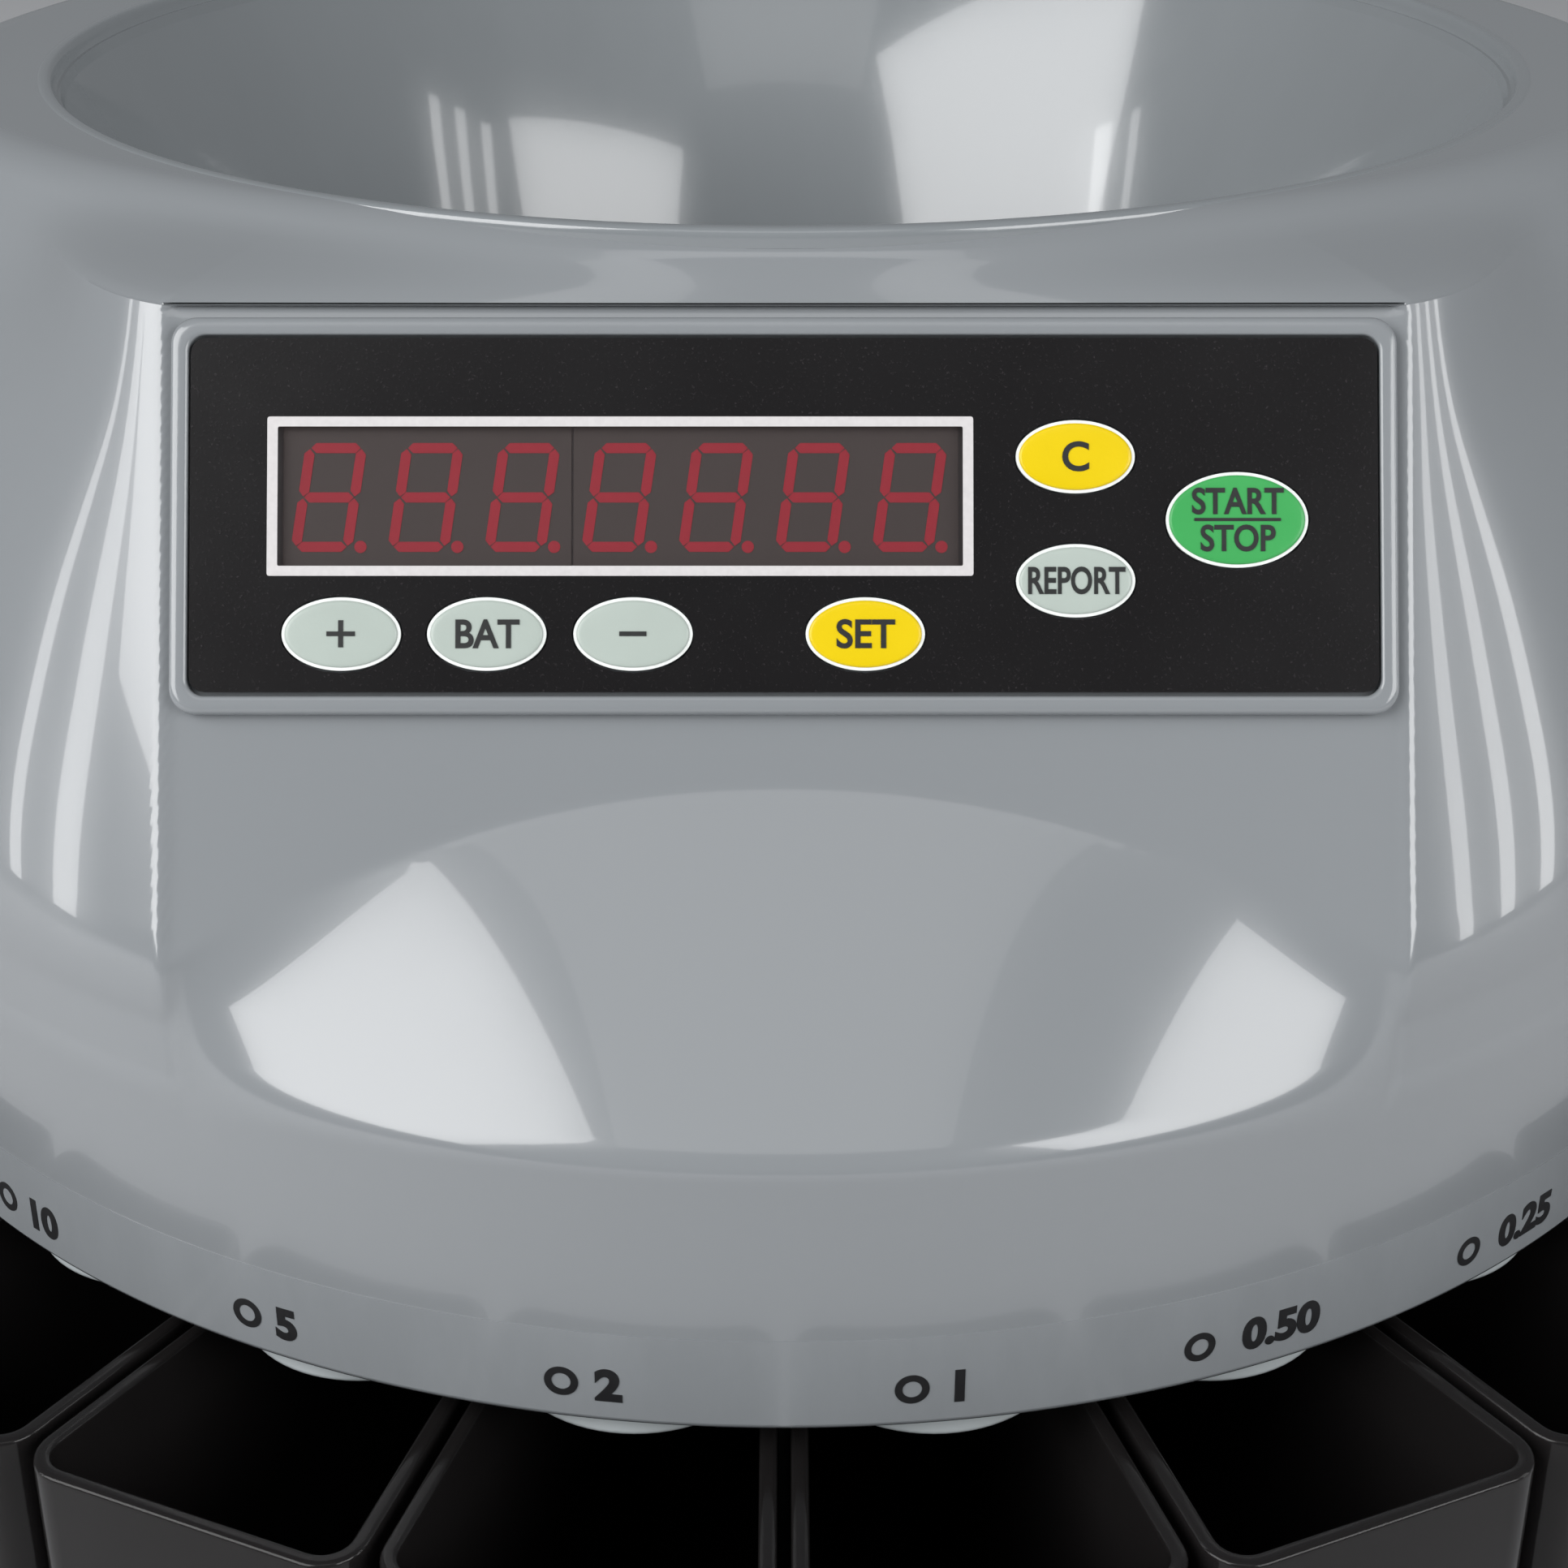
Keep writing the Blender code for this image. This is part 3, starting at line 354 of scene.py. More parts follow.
class Wire:
    """One shader socket. Arithmetic on it adds Math nodes."""

    def __init__(self, recipe, socket):
        self.recipe = recipe
        self.socket = socket

    def maths(self, operation, first, second):
        return self.recipe.node("ShaderNodeMath", {"operation": operation}, {0: first, 1: second})

    def __add__(self, other):
        return self.maths("ADD", self, other)

    def __sub__(self, other):
        return self.maths("SUBTRACT", self, other)

    def __rsub__(self, other):
        return self.maths("SUBTRACT", other, self)

    def __mul__(self, other):
        return self.maths("MULTIPLY", self, other)

    def __gt__(self, other):
        return self.maths("GREATER_THAN", self, other)

    __radd__ = __add__
    __rmul__ = __mul__


class Recipe:
    """A material under construction."""

    def __init__(self, name, **constants):
        self.material = bpy.data.materials.new(name)
        self.material.use_nodes = True
        self.nodes = self.material.node_tree.nodes
        self.shader = self.nodes["Principled BSDF"]
        self.place = self.node("ShaderNodeTexCoord", output="Object")
        for label, value in constants.items():
            self.shader.inputs[label.replace("_", " ")].default_value = value

    def node(self, kind, settings=None, inputs=None, output=0):
        """Adds a node: its settings first, then the values or links of its sockets."""
        made = self.nodes.new(kind)
        for label, value in (settings or {}).items():
            if label == "stops":
                self.set_stops(made.color_ramp, value)
            else:
                setattr(made, label, value)
        for label, value in (inputs or {}).items():
            if isinstance(value, Wire):
                self.material.node_tree.links.new(value.socket, made.inputs[label])
            else:
                made.inputs[label].default_value = value
        return Wire(self, made.outputs[output])

    @staticmethod
    def set_stops(ramp, stops):
        for index, (position, shade) in enumerate(stops):
            stop = ramp.elements[index] if index < 2 else ramp.elements.new(position)
            stop.position = position
            stop.color = (shade, shade, shade, 1)

    def noise(self, scale, detail=2.0, roughness=0.5, stretch=None):
        place = self.place
        if stretch:
            place = self.node("ShaderNodeMapping", None, {"Vector": place, "Scale": stretch})
        sockets = {"Vector": place, "Scale": scale, "Detail": detail, "Roughness": roughness}
        return self.node("ShaderNodeTexNoise", None, sockets)

    def blend(self, share, first, second):
        """A colour between two others."""
        sockets = {0: share, 6: (*first, 1), 7: (*second, 1)}
        return self.node("ShaderNodeMix", {"data_type": "RGBA"}, sockets, output=2)

    def send(self, wire, label):
        self.material.node_tree.links.new(wire.socket, self.shader.inputs[label])

    def relief(self, height, distance):
        """Raises the surface by a pattern, this many metres at its highest."""
        self.send(self.node("ShaderNodeBump", None, {"Height": height, "Distance": distance}), "Normal")


def lighter(colour, factor):
    return tuple(min(1.0, channel * factor) for channel in colour)


def moulded(name, colour, roughness, grain=0.00002, **constants):
    """Injection-moulded plastic: faint cloudiness, handling haze in the gloss and a fine skin."""
    recipe = Recipe(name, **constants)
    cloud = recipe.noise(9.0, 3.0)
    recipe.send(recipe.blend(cloud, lighter(colour, 0.96), lighter(colour, 1.04)), "Base Color")
    haze = recipe.noise(60.0, 3.0)
    recipe.send(haze * (roughness * 0.3) + roughness * 0.85, "Roughness")
    recipe.relief(recipe.noise(900.0, 2.0), grain)
    return recipe.material


def glossy_shell(colour):
    """The head's polished plastic, with a slow ripple that bends its reflections."""
    recipe = Recipe("glossy_shell", Coat_Weight=0.6, Coat_Roughness=0.03, IOR=1.53)
    cloud = recipe.noise(7.0, 3.0)
    recipe.send(recipe.blend(cloud, lighter(colour, 0.97), lighter(colour, 1.03)), "Base Color")
    haze = recipe.noise(30.0, 4.0, 0.65)
    recipe.send(haze * 0.10 + 0.13, "Roughness")
    ripple = recipe.noise(40.0, 1.0) * 0.75 + recipe.noise(850.0, 2.0) * 0.05
    recipe.relief(ripple, 0.00006)
    return recipe.material


def funnel_finish(colour):
    """The hopper's satin plastic, with faint streaks down its slope: painted reflection streaks in its
    colour, and wear in its gloss.
    """
    recipe = Recipe("funnel_finish", Coat_Weight=0.6, Coat_Roughness=0.05, IOR=1.53)
    wear_and_painted_streaks = recipe.noise(26.0, 4.0, 0.6, stretch=(1.0, 1.0, 0.12))
    # Painted reflection: the light and dark streaks in the colour stand in for reflections down the
    # slope; in the roughness the same streaks are wear.
    recipe.send(recipe.blend(wear_and_painted_streaks, lighter(colour, 0.93), lighter(colour, 1.06)), "Base Color")
    recipe.send(wear_and_painted_streaks * 0.14 + 0.10, "Roughness")
    recipe.relief(recipe.noise(48.0, 1.0) * 0.8 + recipe.noise(700.0, 2.0) * 0.06, 0.00015)
    return recipe.material


def film(name, colour, glint_colour):
    """Black polyester film with a fine textured face, and painted glints: pale specks in its colour
    where the texture catches light.
    """
    recipe = Recipe(name, IOR=1.36)
    fine = recipe.noise(2600.0, 2.0, 0.7)
    ramp = {"stops": ((0.62, 0.0), (0.78, 1.0))}
    painted_glints = recipe.node("ShaderNodeValToRGB", ramp, {"Fac": fine})
    # Painted glints: the pale specks in the colour stand in for light caught by the textured face.
    recipe.send(recipe.blend(painted_glints, colour, glint_colour), "Base Color")
    recipe.send(recipe.noise(60.0, 3.0) * 0.10 + 0.20, "Roughness")
    recipe.relief(fine, 0.00001)
    return recipe.material


def key_film(name, colour):
    """A printed key pad under the film's smooth clear face."""
    recipe = Recipe(name, Coat_Weight=0.12, Coat_Roughness=0.12, IOR=1.35)
    cloud = recipe.noise(120.0, 2.0)
    recipe.send(recipe.blend(cloud, lighter(colour, 0.95), lighter(colour, 1.05)), "Base Color")
    recipe.send(cloud * 0.12 + 0.24, "Roughness")
    recipe.relief(recipe.noise(1800.0, 1.0), 0.000015)
    return recipe.material


def ink(name, colour):
    """Printed ink, a little uneven where it is thin."""
    recipe = Recipe(name)
    thin = recipe.noise(1400.0, 3.0)
    recipe.send(recipe.blend(thin, lighter(colour, 0.9), lighter(colour, 1.1)), "Base Color")
    recipe.send(thin * 0.2 + 0.35, "Roughness")
    return recipe.material


def smoked_plastic(colour):
    """The cups' dark clear plastic, scuffed finely by coins."""
    recipe = Recipe("smoked_plastic", IOR=1.33, Alpha=0.9)
    cloud = recipe.noise(14.0, 2.0)
    recipe.send(recipe.blend(cloud, lighter(colour, 0.85), lighter(colour, 1.15)), "Base Color")
    scuffs = recipe.noise(160.0, 5.0, 0.7, stretch=(1.0, 1.0, 0.25))
    recipe.send(scuffs * 0.16 + 0.06, "Roughness")
    recipe.relief(scuffs, 0.00003)
    return recipe.material


def clear_strip(colour):
    """The label strip: clear film on the shell's grey, a little cloudy from its glue."""
    recipe = Recipe("clear_strip", Coat_Weight=0.25, Coat_Roughness=0.1)
    glue = recipe.noise(70.0, 5.0, 0.7, stretch=(1.0, 1.0, 0.35))
    ramp = {"stops": ((0.42, 0.0), (0.72, 1.0))}
    cloudy = recipe.node("ShaderNodeValToRGB", ramp, {"Fac": glue})
    recipe.send(recipe.blend(cloudy, colour, lighter(colour, 1.07)), "Base Color")
    recipe.send(glue * 0.14 + 0.16, "Roughness")
    recipe.relief(glue, 0.00004)
    return recipe.material


def tinted_window(colour):
    recipe = Recipe("tinted_window", Alpha=0.22, IOR=1.45)
    haze = recipe.noise(50.0, 3.0)
    recipe.send(recipe.blend(haze, lighter(colour, 0.9), lighter(colour, 1.1)), "Base Color")
    recipe.send(haze * 0.08 + 0.05, "Roughness")
    return recipe.material


def brushed(name, colour, roughness, stretch):
    """Metal with fine lines along one way."""
    recipe = Recipe(name, Metallic=1.0)
    lines = recipe.noise(120.0, 4.0, 0.7, stretch=stretch)
    recipe.send(recipe.blend(lines, lighter(colour, 0.85), lighter(colour, 1.12)), "Base Color")
    recipe.send(lines * 0.2 + (roughness - 0.1), "Roughness")
    recipe.relief(lines, 0.00002)
    return recipe.material


def board_finish(colour):
    """Green solder mask over traces that show as faint lines."""
    recipe = Recipe("board_finish", Coat_Weight=0.3)
    settings = {"feature": "DISTANCE_TO_EDGE", "distance": "EUCLIDEAN"}
    cells = recipe.node("ShaderNodeTexVoronoi", settings, {"Vector": recipe.place, "Scale": 160.0})
    traces = cells > 0.06
    recipe.send(recipe.blend(traces, lighter(colour, 1.6), colour), "Base Color")
    recipe.send(recipe.noise(90.0) * 0.2 + 0.3, "Roughness")
    return recipe.material


def soft_rubber(colour):
    recipe = Recipe("soft_rubber")
    dust = recipe.noise(220.0, 4.0, 0.7)
    recipe.send(recipe.blend(dust, colour, lighter(colour, 2.2)), "Base Color")
    recipe.send(dust * 0.2 + 0.65, "Roughness")
    recipe.relief(dust, 0.00006)
    return recipe.material


# ---- Settings ----


def length(name, default, description):
    return FloatProperty(name=name, description=description, default=default, unit="LENGTH")


def colour(name, default, description):
    return FloatVectorProperty(
        name=name, description=description, default=default, subtype="COLOR", min=0, max=1
    )


class HeadSettings(bpy.types.PropertyGroup):
    crease_rise: length("Crease", 0.041, "Height of the shoulder above the skirt's lower edge")
    hopper_rise: length("Hopper Edge", 0.140, "Height of the hopper's outer edge above the skirt's")
    wall: length("Wall", 0.0026, "Thickness of the head's shell")
    console_width: length("Console Width", 0.161, "Width of the raised block round the panel")
    console_top: length("Console Top", 0.1332, "Height of the raised block above the skirt's edge")
    arch_radius: length("Arch Radius", 0.150, "Radius of the arch below the panel")
    arch_drop: length("Arch Drop", 0.0354, "From the panel's middle down to the top of the arch")
    facet_inset: length("Facet Inset", 0.0008, "How far the panel's facet is let into the drum")
    swell_spread: FloatProperty(
        name="Swell Spread",
        description="Angle over which the drum fills out beside the panel",
        default=math.radians(24),
        subtype="ANGLE",
    )
    softness: length("Edge Softness", 0.0016, "How far the moulded edges are rounded")


class PanelSettings(bpy.types.PropertyGroup):
    ring_width: length("Ring Width", 0.1592, "Width of the raised ring round the film")
    ring_height: length("Ring Height", 0.0517, "Height of the raised ring up the panel")
    film_width: length("Film Width", 0.1538, "Width of the black film")
    digits: IntProperty(name="Digits", description="Digits in the display", default=7, min=1)
    digit_height: length("Digit Height", 0.0142, "Height of one digit")
    digit_pitch: length("Digit Pitch", 0.01257, "From one digit to the next")
    segment: length("Segment Width", 0.00132, "Width of one lit bar of a digit")
    outline: length("Key Outline", 0.0004, "Width of the white line round each key")


class CupSettings(bpy.types.PropertyGroup):
    wall: length("Wall", 0.0024, "Thickness of a cup's walls")
    floor: length("Floor", 0.0024, "Thickness of a cup's floor")
    corner: length("Corner", 0.0062, "Radius of a cup's upright corners")
    gap: length("Gap", 0.0018, "Space between two cups")
    core: length("Core", 0.0878, "From the axis to a cup's inner end")
    reach: length("Reach", 0.193, "From the axis to a cup's outer end")
    pitch: FloatProperty(
        name="Pitch",
        description="Angle from one cup to the next",
        default=math.radians(16),
        subtype="ANGLE",
    )


class StageSettings(bpy.types.PropertyGroup):
    lens: FloatProperty(name="Lens", description="Focal length in millimetres", default=61.5, min=1)
    back: length("Camera Distance", 0.4425, "From the axis forward to the camera")
    rise: length("Camera Rise", 0.2319, "From the skirt's lower edge up to the camera")
    pitch: FloatProperty(
        name="Camera Pitch",
        description="How far the camera looks down",
        default=math.radians(26.3),
        subtype="ANGLE",
    )
    floor: colour("Floor", (0.62, 0.62, 0.63), "Plain pale floor")


class ColourSettings(bpy.types.PropertyGroup):
    shell: colour("Shell", (0.208, 0.221, 0.232), "The head's blue-grey plastic")
    funnel: colour("Hopper", (0.19, 0.205, 0.215), "The hopper's satin plastic")
    body: colour("Body", (0.22, 0.245, 0.255), "The body's plastic")
    film: colour("Film", (0.0055, 0.0048, 0.0052), "The black key film")
    pale_key: colour("Pale Keys", (0.375, 0.425, 0.39), "Adjusting and report keys")
    yellow_key: colour("Yellow Keys", (0.66, 0.48, 0.0), "Set and clear keys")
    green_key: colour("Green Key", (0.044, 0.318, 0.082), "Start and stop key")
    digit: colour("Digits", (0.50, 0.010, 0.034), "Unlit bars of the display")
    module: colour("Display Face", (0.070, 0.057, 0.054), "Face of the display modules")
    window: colour("Window", (0.050, 0.038, 0.037), "Tinted display window")
    smoke: colour("Cups", (0.011, 0.010, 0.010), "Dark clear plastic")


# ---- The head ----

# The panel's block lies within this angle of the front, in radians
BLOCK_BEARING = 1.0
# How far the drum spreads for each metre below the crease, before the skirt holds it in
SKIRT_SPREAD = 0.4
# How far edges are rounded, as shares of the head's softness
ARCH_ROUNDING = 0.35
CHEEK_ROUNDING = 1.5
# The swell fades in from this far below the arch, over this height
SWELL_START, SWELL_FADE = 0.008, 0.012
# The finely stepped front, to each side, and the columns in it and in the rest
FINE_BEARING = math.radians(47)
FINE_COLUMNS, COARSE_COLUMNS = 377, 134
# How far the rim climbs from the head's outer edge, and how far in from the edge it has done so
RIM_CLIMB, RIM_BEND = 0.0022, 0.0065
MOUTH_GAP = 0.0012
LIP_OVERHANG = 0.0028
LIP_HEIGHT = 0.0026
FUNNEL_WALL = 0.0022
# How quickly the funnel opens towards its mouth: 1 would be a straight cone
FUNNEL_FLARE = 1.8

# Share of the way from the crease to the hopper's edge, then how far the side and the front stand in
# from the skirt, and how far back the outline is widest
HEAD_LEVELS = (
    (0.000, 0.000, 0.0000, 0.000),
    (0.160, 0.003, 0.0020, 0.000),
    (0.434, 0.007, 0.0160, 0.005),
    (0.700, 0.011, 0.0365, 0.013),
    (0.930, 0.016, 0.0635, 0.023),
    (1.000, 0.019, 0.0660, 0.026),
)


def eased(places, values, at):
    """A smooth curve through a short list of values."""
    slopes = np.gradient(values, places)
    index = np.clip(np.searchsorted(places, at) - 1, 0, len(places) - 2)
    span = places[index + 1] - places[index]
    share = np.clip((at - places[index]) / span, 0, 1)
    rise = share**2 * (3 - 2 * share)
    start = share * (1 - share) ** 2 * span * slopes[index]
    end = share**2 * (1 - share) * span * slopes[index + 1]
    return values[index] * (1 - rise) + values[index + 1] * rise + start - end


def softly_least(first, second, width):
    """The lesser of two distances, rounded where they meet."""
    overlap = np.clip(width - np.abs(first - second), 0, None) / width
    return np.minimum(first, second) - overlap**2 * width / 4


class HeadForm:
    """How far the head's surface is from the axis, by the angle from the front and the height."""

    def __init__(self, settings):
        self.settings = settings
        table = np.array(HEAD_LEVELS)
        self.shares = table[:, 0]
        self.sides = SKIRT_RADIUS - table[:, 1]
        self.fronts = SKIRT_RADIUS - table[:, 2]
        self.rears = SKIRT_RADIUS - table[:, 1] / 2
        self.setbacks = table[:, 3]
        self.level = PANEL_OUT.dot(PANEL_CENTRE - AXIS)

    def drum(self, angle, rise):
        """The bell-shaped part: two half ellipses that meet at the sides."""
        crease = self.settings.crease_rise
        share = np.clip((rise - crease) / (self.settings.hopper_rise - crease), 0, 1)
        side = eased(self.shares, self.sides, share)
        setback = eased(self.shares, self.setbacks, share)
        front = eased(self.shares, self.fronts, share) + setback
        rear = eased(self.shares, self.rears, share) - setback
        forward = self.on_ellipse(angle, side, front, setback)
        backward = self.on_ellipse(angle, side, rear, setback)
        return np.where(-forward * np.cos(angle) < setback, forward, backward)

    @staticmethod
    def on_ellipse(angle, side, depth, setback):
        """Where a ray from the axis meets an ellipse whose middle stands back from it."""
        across, along = np.sin(angle) / side, -np.cos(angle) / depth
        shift = -setback / depth
        square = across**2 + along**2
        half = along * shift
        return (-half + np.sqrt(half**2 - square * (shift**2 - 1))) / square

    def swell(self, angle, rise):
        """How far the drum fills out beside and above the panel, so that the facet is let into it."""
        settings = self.settings
        top = settings.console_top
        held_rise = np.clip(rise, settings.crease_rise, top)
        depth = self.facet(0.0, held_rise + SKIRT_BOTTOM)
        corner = np.arctan2(settings.console_width / 2, depth)
        bearing = np.abs((angle + np.pi) % (2 * np.pi) - np.pi)
        held = np.minimum(bearing, corner)
        excess = depth / np.cos(held) + settings.facet_inset - self.drum(held, held_rise)
        beyond = np.clip((bearing - corner) / settings.swell_spread, 0, 1)
        above = np.clip((rise - top) / (settings.hopper_rise - top), 0, 1)
        fade = (1 - beyond) ** 2 * (1 + 2 * beyond) * (1 - above) ** 2 * (1 + 2 * above)
        arch_rise = self.arch(np.clip(depth * np.tan(held), 0, settings.console_width / 2))[0]
        below = np.clip((rise - arch_rise + SWELL_START) / SWELL_FADE, 0, 1)
        return np.clip(excess, 0, None) * fade * below

    def facet(self, angle, height):
        """The tilted plane that the panel stands on."""
        forward = np.clip(np.cos(angle), 0.2, None)
        return (self.level - PANEL_OUT.z * height) / (-PANEL_OUT.y * forward)

    def slope(self, angle, rise):
        """The surface between the arch and the crease, found by a few rounds of narrowing down."""
        settings = self.settings
        edge = settings.console_width / 2 + 0.001
        forward = np.clip(np.cos(angle), 0.2, None)
        reach = np.full_like(angle + rise, SKIRT_RADIUS)
        for _ in range(12):
            across = np.clip(reach * np.sin(angle), -edge, edge)
            arch_rise, arch_depth = self.arch(across)
            crease_depth = np.sqrt(SKIRT_RADIUS**2 - across**2)
            share = (arch_rise - rise) / np.maximum(arch_rise - settings.crease_rise, 0.002)
            depth = arch_depth + (crease_depth - arch_depth) * share
            reach = 0.4 * reach + 0.6 * depth / forward
        return reach

    def arch(self, across):
        """The arch's height above the skirt's edge and its distance in front of the axis."""
        settings = self.settings
        sag = settings.arch_radius - np.sqrt(settings.arch_radius**2 - across**2)
        along = -(settings.arch_drop + sag)
        rise = PANEL_CENTRE.z + PANEL_UP.z * along - SKIRT_BOTTOM
        depth = AXIS.y - PANEL_CENTRE.y - PANEL_UP.y * along
        return rise, depth

    def reach(self, angle, rise):
        """The whole outer surface."""
        settings = self.settings
        soft = settings.softness
        drum = self.drum(angle, rise) + np.clip(settings.crease_rise - rise, 0, None) * SKIRT_SPREAD
        drum = drum + self.swell(angle, rise)
        facet = self.facet(angle, rise + SKIRT_BOTTOM)
        slope = self.slope(angle, rise)
        edge = settings.console_width / 2
        across = np.clip(facet * np.sin(angle), -edge, edge)
        above = rise - self.arch(across)[0]
        blend = np.clip(above / (ARCH_ROUNDING * soft) * 0.5 + 0.5, 0, 1)
        outside = np.abs(angle) > BLOCK_BEARING
        front = np.where(outside, 1.0, slope + (facet - slope) * blend)
        cheek = np.where(outside, 0.0, edge / np.maximum(np.abs(np.sin(angle)), 0.05))
        rounding = np.clip((rise - settings.console_top + soft) / soft, 0, 1)
        rounding = soft * (1 - np.sqrt(1 - rounding**2))
        block = softly_least(front, cheek, CHEEK_ROUNDING * soft) - rounding
        share = np.clip((cheek - drum) / (CHEEK_ROUNDING * soft) + 0.5, 0, 1)
        head = drum + (block - drum) * share
        head = np.where(rise > settings.console_top, drum, head)
        return softly_least(head, np.full_like(head, SKIRT_RADIUS), soft)


def head_angles():
    """Fine steps across the panel's side, coarser ones round the back."""
    front = np.linspace(-FINE_BEARING, FINE_BEARING, FINE_COLUMNS)
    rear = np.linspace(FINE_BEARING, 2 * np.pi - FINE_BEARING, COARSE_COLUMNS)[1:-1]
    return np.concatenate([front, rear])


def head_rises(settings):
    """Heights of the outer surface's rows, close together where it bends."""
    crease, top, edge = settings.crease_rise, settings.console_top, settings.hopper_rise
    return np.concatenate(
        [
            np.array([0.0009, 0.004, 0.012, 0.022, 0.030]),
            np.arange(crease - 0.006, crease + 0.004, 0.0006),
            np.arange(crease + 0.004, top - 0.004, 0.0010),
            np.arange(top - 0.004, top, 0.0004),
            np.array([top, top + 0.0003]),
            np.arange(top + 0.0012, edge, 0.0010),
        ]
    )


def head_mesh(settings):
    """One closed shell: out from the skirt's edge, up and over the rim, and down inside."""
    form = HeadForm(settings)
    angles = head_angles()
    rises = head_rises(settings)
    outer = [form.reach(angles, np.full_like(angles, rise)) for rise in rises]
    mouth = mouth_reach(angles)
    edge = outer[-1]
    radii = [outer[0] - 0.0009, outer[0] - 0.0003] + outer
    heights = [0.0, 0.0003] + list(rises)
    top = settings.hopper_rise + RIM_CLIMB
    span = edge - mouth
    for step in range(1, 9):
        in_from_edge = np.minimum(span * step / 8, 1)
        climb = 1 - (1 - np.clip(in_from_edge / RIM_BEND, 0, 1)) ** 2
        radii.append(edge - in_from_edge)
        heights.append(rises[-1] + (top - rises[-1]) * climb)
    radii += [mouth, np.minimum(outer[-4] - settings.wall, mouth + 0.004)]
    heights += [settings.hopper_rise - 0.001, settings.hopper_rise - 0.0015]
    for index in range(len(rises) - 4, 0, -7):
        radii.append(outer[index] - settings.wall)
        heights.append(rises[index] - settings.wall * 0.4)
    radii += [outer[0] - settings.wall, outer[0] - settings.wall]
    heights += [0.004, 0.0]
    return grid_mesh("head_shell", angles, radii, heights)


def mouth_reach(angles):
    """From the axis to the hopper's mouth, whose own middle stands further back."""
    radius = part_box("hopper_bowl")[1].x + MOUTH_GAP
    along = -np.cos(angles) * HOPPER_SETBACK
    return along + np.sqrt(along**2 - HOPPER_SETBACK**2 + radius**2)


def grid_mesh(name, angles, radii, heights):
    """A ring-shaped mesh from a distance for each angle and row, its last row joined to its first."""
    count = len(angles)
    rows = []
    for radius, height in zip(radii, heights):
        level = SKIRT_BOTTOM + np.broadcast_to(height, angles.shape)
        rows.append(
            np.stack([radius * np.sin(angles), AXIS.y - radius * np.cos(angles), level], axis=1)
        )
    points = np.concatenate(rows)
    row, column = np.meshgrid(np.arange(len(rows)), np.arange(count), indexing="ij")
    next_row, next_column = (row + 1) % len(rows), (column + 1) % count
    faces = np.stack(
        [
            row * count + column,
            row * count + next_column,
            next_row * count + next_column,
            next_row * count + column,
        ],
        axis=-1,
    )
    mesh = bpy.data.meshes.new(name)
    mesh.from_pydata(points.tolist(), [], faces.reshape(-1, 4).tolist())
    mesh.shade_smooth()
    mesh.set_sharp_from_angle(angle=math.radians(50))
    return mesh


def hopper_mesh():
    """The funnel, its rolled lip, and the thin wall behind it."""
    low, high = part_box("hopper_bowl")
    centre = Vector((0, (low.y + high.y) / 2, 0))
    lip = high.x + LIP_OVERHANG
    level = HEAD_TOP - 0.0014
    top = level + LIP_HEIGHT
    mouth = lip - 0.0030
    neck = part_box("sorting_disc")[1].x - 0.007
    steps = 40
    drop = top - 0.0022 - low.z
    inner = []
    for step in range(steps + 1):
        share = step / steps
        inner.append((neck + (mouth - neck) * share**FUNNEL_FLARE, low.z + drop * share))
    outer = [(radius + FUNNEL_WALL, height) for radius, height in inner[:-1:4]]
    outer.append((mouth - 0.0008, level))
    rolled = [(lip, level)] + fillet((lip, top - 0.0013), (lip, top), (lip - 0.0012, top))
    rolled += fillet((mouth + 0.0012, top), (mouth + 0.0002, top), inner[-1])[:-1]
    profile = outer + rolled + inner[::-1]
    return turned("hopper_funnel", profile, centre, closed=True, steps=192)


# ---- The panel ----

PRINT_THICKNESS = 0.00006
WINDOW_FRAME_OUTER = (0.0914, 0.0207)
WINDOW_FRAME_INNER = (0.0887, 0.0181)
DIGIT_LEAN = math.radians(8)
# Half a digit's width, as a share of its height
DIGIT_HALF_WIDTH = 0.235
DIGIT_POINT_RADIUS = 0.0008

def panel_stack(name, layers, x=0.0, y=0.0, closed=False):
    """A mesh through outlines on the panel, each at its own height above it."""
    rings = [
        [on_panel(x + point.x, y + point.y, height) for point in outline]
        for outline, height in layers
    ]
    return stacked(name, rings, closed)


def panel_ring(settings):
    """The raised ring that frames the film, rounded outside and in."""
    top = heights_above(PANEL_OUT, "console_plate")[1] - FACET_LEVEL

    def outline(inset):
        width, height = settings.ring_width - 2 * inset, settings.ring_height - 2 * inset
        return rectangle(width, height, max(0.0034 - inset * 0.5, 0.0016))

    inner = (settings.ring_width - settings.film_width) / 2 - 0.0003
    layers = [(outline(0.0), 0.0)]
    layers += [(outline(a), b) for a, b in fillet((0.0, top - 0.0011), (0.0, top), (0.0011, top))]
    bend = fillet((inner - 0.0006, top), (inner, top), (inner, top - 0.0006))
    layers += [(outline(a), b) for a, b in bend]
    layers.append((outline(inner), 0.0))
    return panel_stack("panel_ring", layers, closed=True)


def flat_ring(outer, inner, low, high):
    """The layers of a flat ring between two outlines."""
    return [(outer, low), (outer, high), (inner, high), (inner, low)]


def window_frame_mesh():
    """The white printed line round the display."""
    x, y = panel_place("display_window")
    outer = rectangle(*WINDOW_FRAME_OUTER, 0.0003, 2)
    inner = rectangle(*WINDOW_FRAME_INNER, 0.0002, 2)
    layers = flat_ring(outer, inner, FILM_LEVEL, FILM_LEVEL + PRINT_THICKNESS)
    return panel_stack("window_frame", layers, x, y, closed=True)


def bar(start, end, width):
    """One pointed bar of a digit, as a flat outline."""
    along = (end - start).normalized()
    side = Vector((-along.y, along.x)) * width / 2
    tip = along * width / 2
    return [start, start + tip - side, end - tip - side, end, end - tip + side, start + tip + side]


